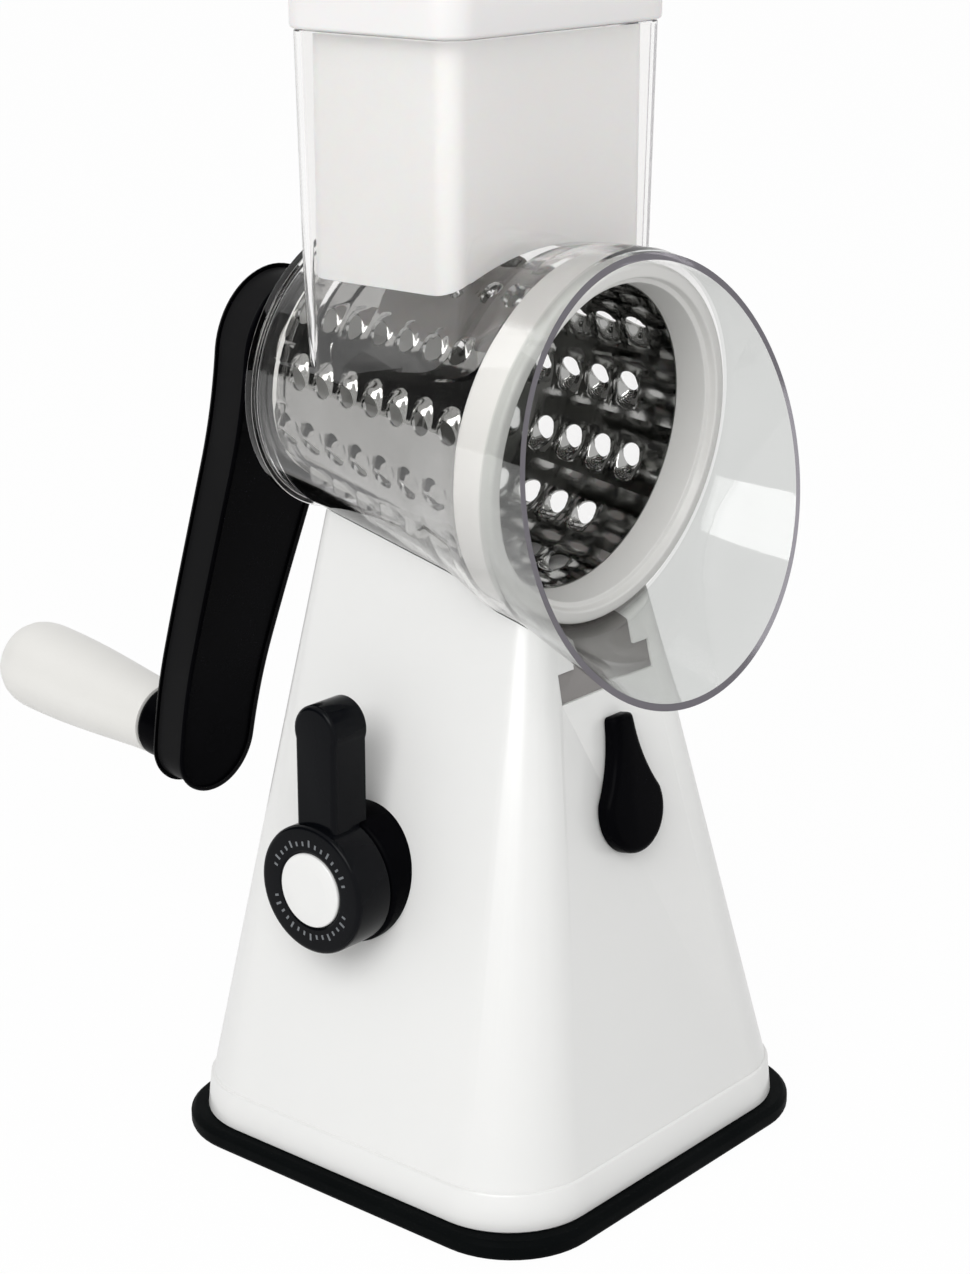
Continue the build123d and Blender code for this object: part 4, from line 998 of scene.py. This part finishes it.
def make_knob():
    """Grip and collar, turned about the knob axis."""
    near = KNOB_SEAT - COLLAR_LENGTH
    bore = 3.6
    bore_depth = 20.0
    collar = turned("knob_collar_skin", rounded([
        (bore, near), (COLLAR_RADIUS - 0.8, near), (COLLAR_RADIUS, near + 1.4),
        (COLLAR_RADIUS, KNOB_SEAT), (bore, KNOB_SEAT),
    ], [0, 0.8, 1.0, 0.3, 0]), 96)
    moved(collar, axis_frame(ARM_LENGTH))
    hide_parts("knob_collar")
    dress(collar, BLACK, "rotor")
    start = near - 0.3
    profile = [(bore, start - bore_depth), (bore, start), (KNOB_NEAR_RADIUS - 0.9, start),
               (KNOB_NEAR_RADIUS - 0.25, start - 0.3), (KNOB_NEAR_RADIUS, start - 1.1)]
    spans = 26
    widest = 0.74           # of the grip's length
    end_round = 0.24
    for i in range(1, spans + 1):
        t = i / spans
        rise = sin(min(t / widest, 1) * pi / 2) ** 1.3
        swell = KNOB_NEAR_RADIUS + (KNOB_MAX_RADIUS - KNOB_NEAR_RADIUS) * rise
        if t > 1 - end_round:
            swell *= max(0.0, 1 - ((t - 1 + end_round) / end_round) ** 2.8) ** 0.5
        profile.append((max(swell, 0.0), start - 1.1 - (KNOB_LENGTH - 1.1) * t))
    profile[-1] = (0.0, start - KNOB_LENGTH)
    profile.insert(0, (0.0, start - bore_depth))
    knob = turned("crank_knob_skin", profile, 96, closed=False)
    moved(knob, axis_frame(ARM_LENGTH))
    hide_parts("crank_knob")
    return dress(knob, GRIP_WHITE, "grip")


# ================================ suction lever
def lever_frame():
    """x points to the front of the machine, y up, z out of the left face."""
    return frame_matrix((0, -1, 0), (0, 0, 1), (-1, 0, 0), (0, LEVER_Y, LEVER_Z))


def plate(name, outline, low, high, edge):
    """A flat piece with a rounded front edge; outline is a function of an inset."""
    back_edge = 0.4
    levels = [(back_edge, low), (0.0, low + back_edge)]
    levels += [(inset, high - depth) for inset, depth in round_edge(edge, 5)]
    return loft(name, [[(x, y, z) for x, y in outline(inset)] for inset, z in levels])


def lever_arm_outline(inset):
    """The arm's outline: straight sides and a wider round head."""
    half = LEVER_ARM_HALF - inset
    head = LEVER_HEAD_RADIUS - inset
    top = LEVER_LENGTH - LEVER_HEAD_RADIUS
    points = [(-half, 0.0), (half, 0.0)]
    start = -radians(22)
    turns = 26
    for i in range(turns + 1):
        angle = start + (pi - 2 * start) * i / turns
        points.append((head * cos(angle), top + head * sin(angle)))
    return points


def make_lever():
    edge = 1.6
    lip = 0.5
    bore = 4.0
    hub_profile = rounded([
        (CAP_DISC_RADIUS + 0.05, LEVER_FRONT - CAP_DISC_HEIGHT),
        (CAP_DISC_RADIUS + 0.05, LEVER_FRONT - 0.4),
        (CAP_DISC_RADIUS + 0.9, LEVER_FRONT),
        (LEVER_HUB_RADIUS, LEVER_FRONT),
        (LEVER_HUB_RADIUS, LEVER_BACK),
        (bore, LEVER_BACK),
        (bore, LEVER_FRONT - CAP_DISC_HEIGHT),
    ], [0, 0.3, 0.4, edge, lip, 0, 0])
    hub = turned("hub", hub_profile)
    arm = plate("arm", lever_arm_outline, LEVER_ARM_BACK, LEVER_ARM_FRONT, 1.5)
    boolean(arm, cylinder(BOSS_DISC_RADIUS + 0.3, 0.0, LEVER_BACK + 0.2), "DIFFERENCE")
    boolean(arm, cylinder(LEVER_HUB_RADIUS - 0.6, 0.0, LEVER_FRONT + 2), "DIFFERENCE")
    lever = join("suction_lever_skin", [hub, arm])
    moved(lever, lever_frame())
    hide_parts("suction_lever")
    return dress(lever, LEVER_BLACK, "lever")


def make_lever_cap():
    low = LEVER_FRONT - CAP_DISC_HEIGHT
    top = LEVER_FRONT + 0.7
    cap = turned("lever_cap_skin", rounded([
        (0.0, low), (CAP_DISC_RADIUS, low), (CAP_DISC_RADIUS, top - 0.3), (0.6 * CAP_DISC_RADIUS, top),
        (0.0, top),
    ], [0, 0, 0.7, 2.0, 0], closed=False), 96, closed=False)
    moved(cap, lever_frame())
    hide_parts("lever_cap")
    return dress(cap, WHITE, "lever")


def make_ticks():
    """A ring of plain raised marks round the cap, of a dial's kind."""
    verts = []
    faces = []
    marks = 36
    inner = CAP_DISC_RADIUS + 2.2
    outer = CAP_DISC_RADIUS + 4.2
    half = 0.32
    proud = 0.12
    blank = 0.26            # sine of the angle left plain at the front and the back
    for i in range(marks):
        angle = 2 * pi * i / marks
        if abs(sin(angle)) < blank:
            continue
        long = outer if i % 3 == 0 else outer - 0.7
        out = Vector((cos(angle), sin(angle), 0))
        side = Vector((-sin(angle), cos(angle), 0)) * half
        start = len(verts)
        for z in (LEVER_FRONT - 0.1, LEVER_FRONT + proud):
            for reach, turn in ((inner, -1), (inner, 1), (long, 1), (long, -1)):
                point = out * reach + side * turn
                verts.append((point.x, point.y, z))
        for face in ((0, 1, 2, 3), (4, 5, 6, 7), (0, 1, 5, 4), (1, 2, 6, 5), (2, 3, 7, 6), (3, 0, 4, 7)):
            faces.append(tuple(start + v for v in face))
    ticks = mesh_object("lever_ticks", verts, faces)
    moved(ticks, lever_frame())
    return dress(ticks, TICKS, "lever")


def make_lever_boss():
    """The black disc on the sloping face, with a rounded front edge."""
    outer = LEVER_BACK - BOSS_DISC_GAP
    edge = 1.4
    slope = (BODY_HALF_LOW - NECK_HALF_X) / (NECK_Z - SKIRT_TOP)
    foot = []
    for x, y, z in circle(BOSS_DISC_RADIUS, 0):
        height = LEVER_Z + y
        foot.append((x, y, BODY_HALF_LOW - (height - SKIRT_TOP) * slope - 0.4))
    rings = [foot]
    rings += [circle(BOSS_DISC_RADIUS - inset, outer - depth) for inset, depth in round_edge(edge, 5)]
    rings += [circle(6.0, outer), circle(4.1, outer)]
    boss = loft("lever_boss_skin", rings)
    moved(boss, lever_frame())
    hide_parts("lever_boss")
    return dress(boss, BLACK, "base")


# ================================ latch
def latch_frame():
    slope = atan2((BODY_HALF_LOW - NECK_FRONT) / (NECK_Z - SKIRT_TOP), 1)
    front = BODY_HALF_LOW - (LATCH_Z - SKIRT_TOP) * tan(slope)
    return frame_matrix((1, 0, 0), (0, sin(slope), cos(slope)), (0, -cos(slope), sin(slope)),
                        (0, -front, LATCH_Z))


def latch_outline(inset):
    """A teardrop: a round bulb with two hollow flanks up to a blunt tip."""
    bulb = LATCH_BULB_RADIUS - inset
    tip_half = 4.3 - inset
    tip_rise = 27.3 - inset
    waist = (6.5 - inset, 15.0)
    shoulder = radians(19.2)
    root = (bulb * cos(shoulder), bulb * sin(shoulder))
    flank = []
    steps = 12
    for i in range(steps + 1):
        t = i / steps
        a = (1 - 3 * t + 2 * t * t, 4 * t - 4 * t * t, 2 * t * t - t)
        flank.append((
            root[0] * a[0] + waist[0] * a[1] + tip_half * a[2],
            root[1] * a[0] + waist[1] * a[1] + tip_rise * a[2],
        ))
    points = []
    turns = 40
    for i in range(1, turns):
        angle = pi - shoulder + (pi + 2 * shoulder) * i / turns
        points.append((bulb * cos(angle), bulb * sin(angle)))
    corner = 1.0
    side = flank[:-1] + [(tip_half, tip_rise - corner), (tip_half - 0.3, tip_rise - 0.3),
                         (tip_half - corner, tip_rise)]
    points += side + [(-x, y) for x, y in reversed(side)]
    return points


def make_latch():
    knob = plate("latch_knob_skin", latch_outline, LATCH_LIFT, LATCH_LIFT + LATCH_THICKNESS, 2.2)
    moved(knob, latch_frame())
    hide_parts("latch_knob")
    return dress(knob, BLACK, "latch")


# ================================ pusher
def make_pusher():
    # both pieces glow with painted light
    body = soft_copy("pusher_body", "pusher_body_skin", 0.8, 3)
    dress(body, MILKY, "pusher")
    cap = soft_copy("pusher_cap", "pusher_cap_skin", 1.2, 4)
    return dress(cap, LID_MILKY, "pusher")


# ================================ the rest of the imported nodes
def dress_nodes():
    """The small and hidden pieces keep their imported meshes."""
    finishes = (
        (RUBBER, ("suction_membrane",)),
        (INNER, ("base_plate", "cam_bracket", "lift_yoke", "lift_cam", "latch_cam", "latch_bolt",
                 "rear_bush", "drum_hub")),
        (PIN_STEEL, ("base_plate_screws", "pull_rod", "rod_foot", "rod_collar", "return_spring",
                     "lever_shaft", "lever_screw", "latch_clip", "crank_shaft", "arm_screw", "knob_pin")),
        (BLACK, ("latch_stem",)),
    )
    for material, nodes in finishes:
        for node in nodes:
            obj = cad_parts[node]
            obj.data.materials.clear()
            obj.data.materials.append(material)
            shade(obj)


# ================================ stage
CAMERA_PLACE = (-572.5, -480.0, 386.9)
CAMERA_TARGET = (-1.2, 1.4, 150.6)
CAMERA_LENS = 76.75     # with a 36 mm high sensor
FLAG_START = 98.0       # degrees round from +X
FLAG_END = 168.0


def add_camera():
    data = bpy.data.cameras.new("camera")
    data.sensor_fit = "VERTICAL"
    data.sensor_height = 36.0
    data.lens = CAMERA_LENS
    camera = placed("camera", data)
    place = Vector(CAMERA_PLACE) * MM
    aim = Vector(CAMERA_TARGET) * MM - place
    camera.location = place
    camera.rotation_euler = aim.to_track_quat("-Z", "Y").to_euler()
    bpy.context.scene.camera = camera


def seen(nodes, links):
    """1 for the rays that should meet a plain white background."""
    path = nodes.new("ShaderNodeLightPath")
    total = path.outputs["Is Camera Ray"]
    for kind in ("Is Glossy Ray", "Is Transmission Ray"):
        adder = nodes.new("ShaderNodeMath")
        adder.operation = "MAXIMUM"
        links.new(total, adder.inputs[0])
        links.new(path.outputs[kind], adder.inputs[1])
        total = adder.outputs["Value"]
    return total


def add_world():
    world = bpy.data.worlds.new("studio")
    bpy.context.scene.world = world
    world.use_nodes = True
    nodes = world.node_tree.nodes
    links = world.node_tree.links
    background = nodes["Background"]
    put(background, {"Color": (1, 1, 1, 1)})
    strength = nodes.new("ShaderNodeMapRange")
    put(strength, {"To Min": 0.6, "To Max": 1.0})
    links.new(seen(nodes, links), strength.inputs["Value"])
    links.new(strength.outputs["Result"], background.inputs["Strength"])


def add_flags():
    """A dark cloth behind the set and to its left, low down, that only reflections show."""
    reach, low, high = 2600.0, 120.0, 1800.0
    spans = 16
    angles = [radians(FLAG_START + (FLAG_END - FLAG_START) * i / spans) for i in range(spans + 1)]
    rings = []
    for z in (low, high):
        rings.append([(reach * cos(a), reach * sin(a), z) for a in angles])
    verts, faces = bridge(rings, closed=False)
    flag = mesh_object("flag", verts, faces)
    material, _, _, shader = new_material("flag_cloth")
    put(shader, {"Base Color": (0.02, 0.02, 0.02, 1), "Roughness": 0.9})
    flag.data.materials.append(material)
    flag.visible_camera = False
    flag.visible_diffuse = False
    flag.visible_shadow = False


def add_lamp(name, place, target, size, watts):
    data = bpy.data.lights.new(name, "AREA")
    data.shape = "RECTANGLE"
    data.size, data.size_y = size
    data.energy = watts
    lamp = placed(name, data)
    lamp.location = place
    lamp.rotation_euler = (Vector(target) - Vector(place)).to_track_quat("-Z", "Y").to_euler()


def add_floor():
    """White paper: its colour is its own light to the eye, with the object's shadow kept."""
    size = 9000.0
    low = -0.05             # clear of the foot's underside
    own_light = 0.97
    verts = [(-size, -size, low), (size, -size, low), (size, size, low), (-size, size, low)]
    floor = mesh_object("floor", verts, [(0, 1, 2, 3)])
    material, nodes, links, shader = new_material("floor_paper")
    put(shader, {"Base Color": (0.86, 0.86, 0.86, 1), "Roughness": 0.8, "Specular IOR Level": 0.1})
    glow = nodes.new("ShaderNodeEmission")
    share = nodes.new("ShaderNodeMath")
    share.operation = "MULTIPLY"
    share.inputs[1].default_value = own_light
    links.new(seen(nodes, links), share.inputs[0])
    mixed(nodes, links, share.outputs["Value"], shader.outputs["BSDF"], glow.outputs["Emission"])
    floor.data.materials.append(material)


def main():
    make_pedestal()
    make_foot()
    make_housing()
    make_rail()
    make_drum()
    make_ring()
    make_crank_arm()
    make_knob()
    make_lever()
    make_lever_cap()
    make_ticks()
    make_lever_boss()
    make_latch()
    make_pusher()
    dress_nodes()
    add_floor()
    add_flags()
    add_world()
    add_camera()
    add_lamp("key", (-1.3, -0.5, 1.2), (0, 0, 0.15), (1.2, 1.0), 17)
    add_lamp("fill", (0.9, -1.3, 0.8), (0, 0, 0.15), (1.2, 1.0), 1)
    bpy.context.scene.view_settings.view_transform = "Standard"


main()
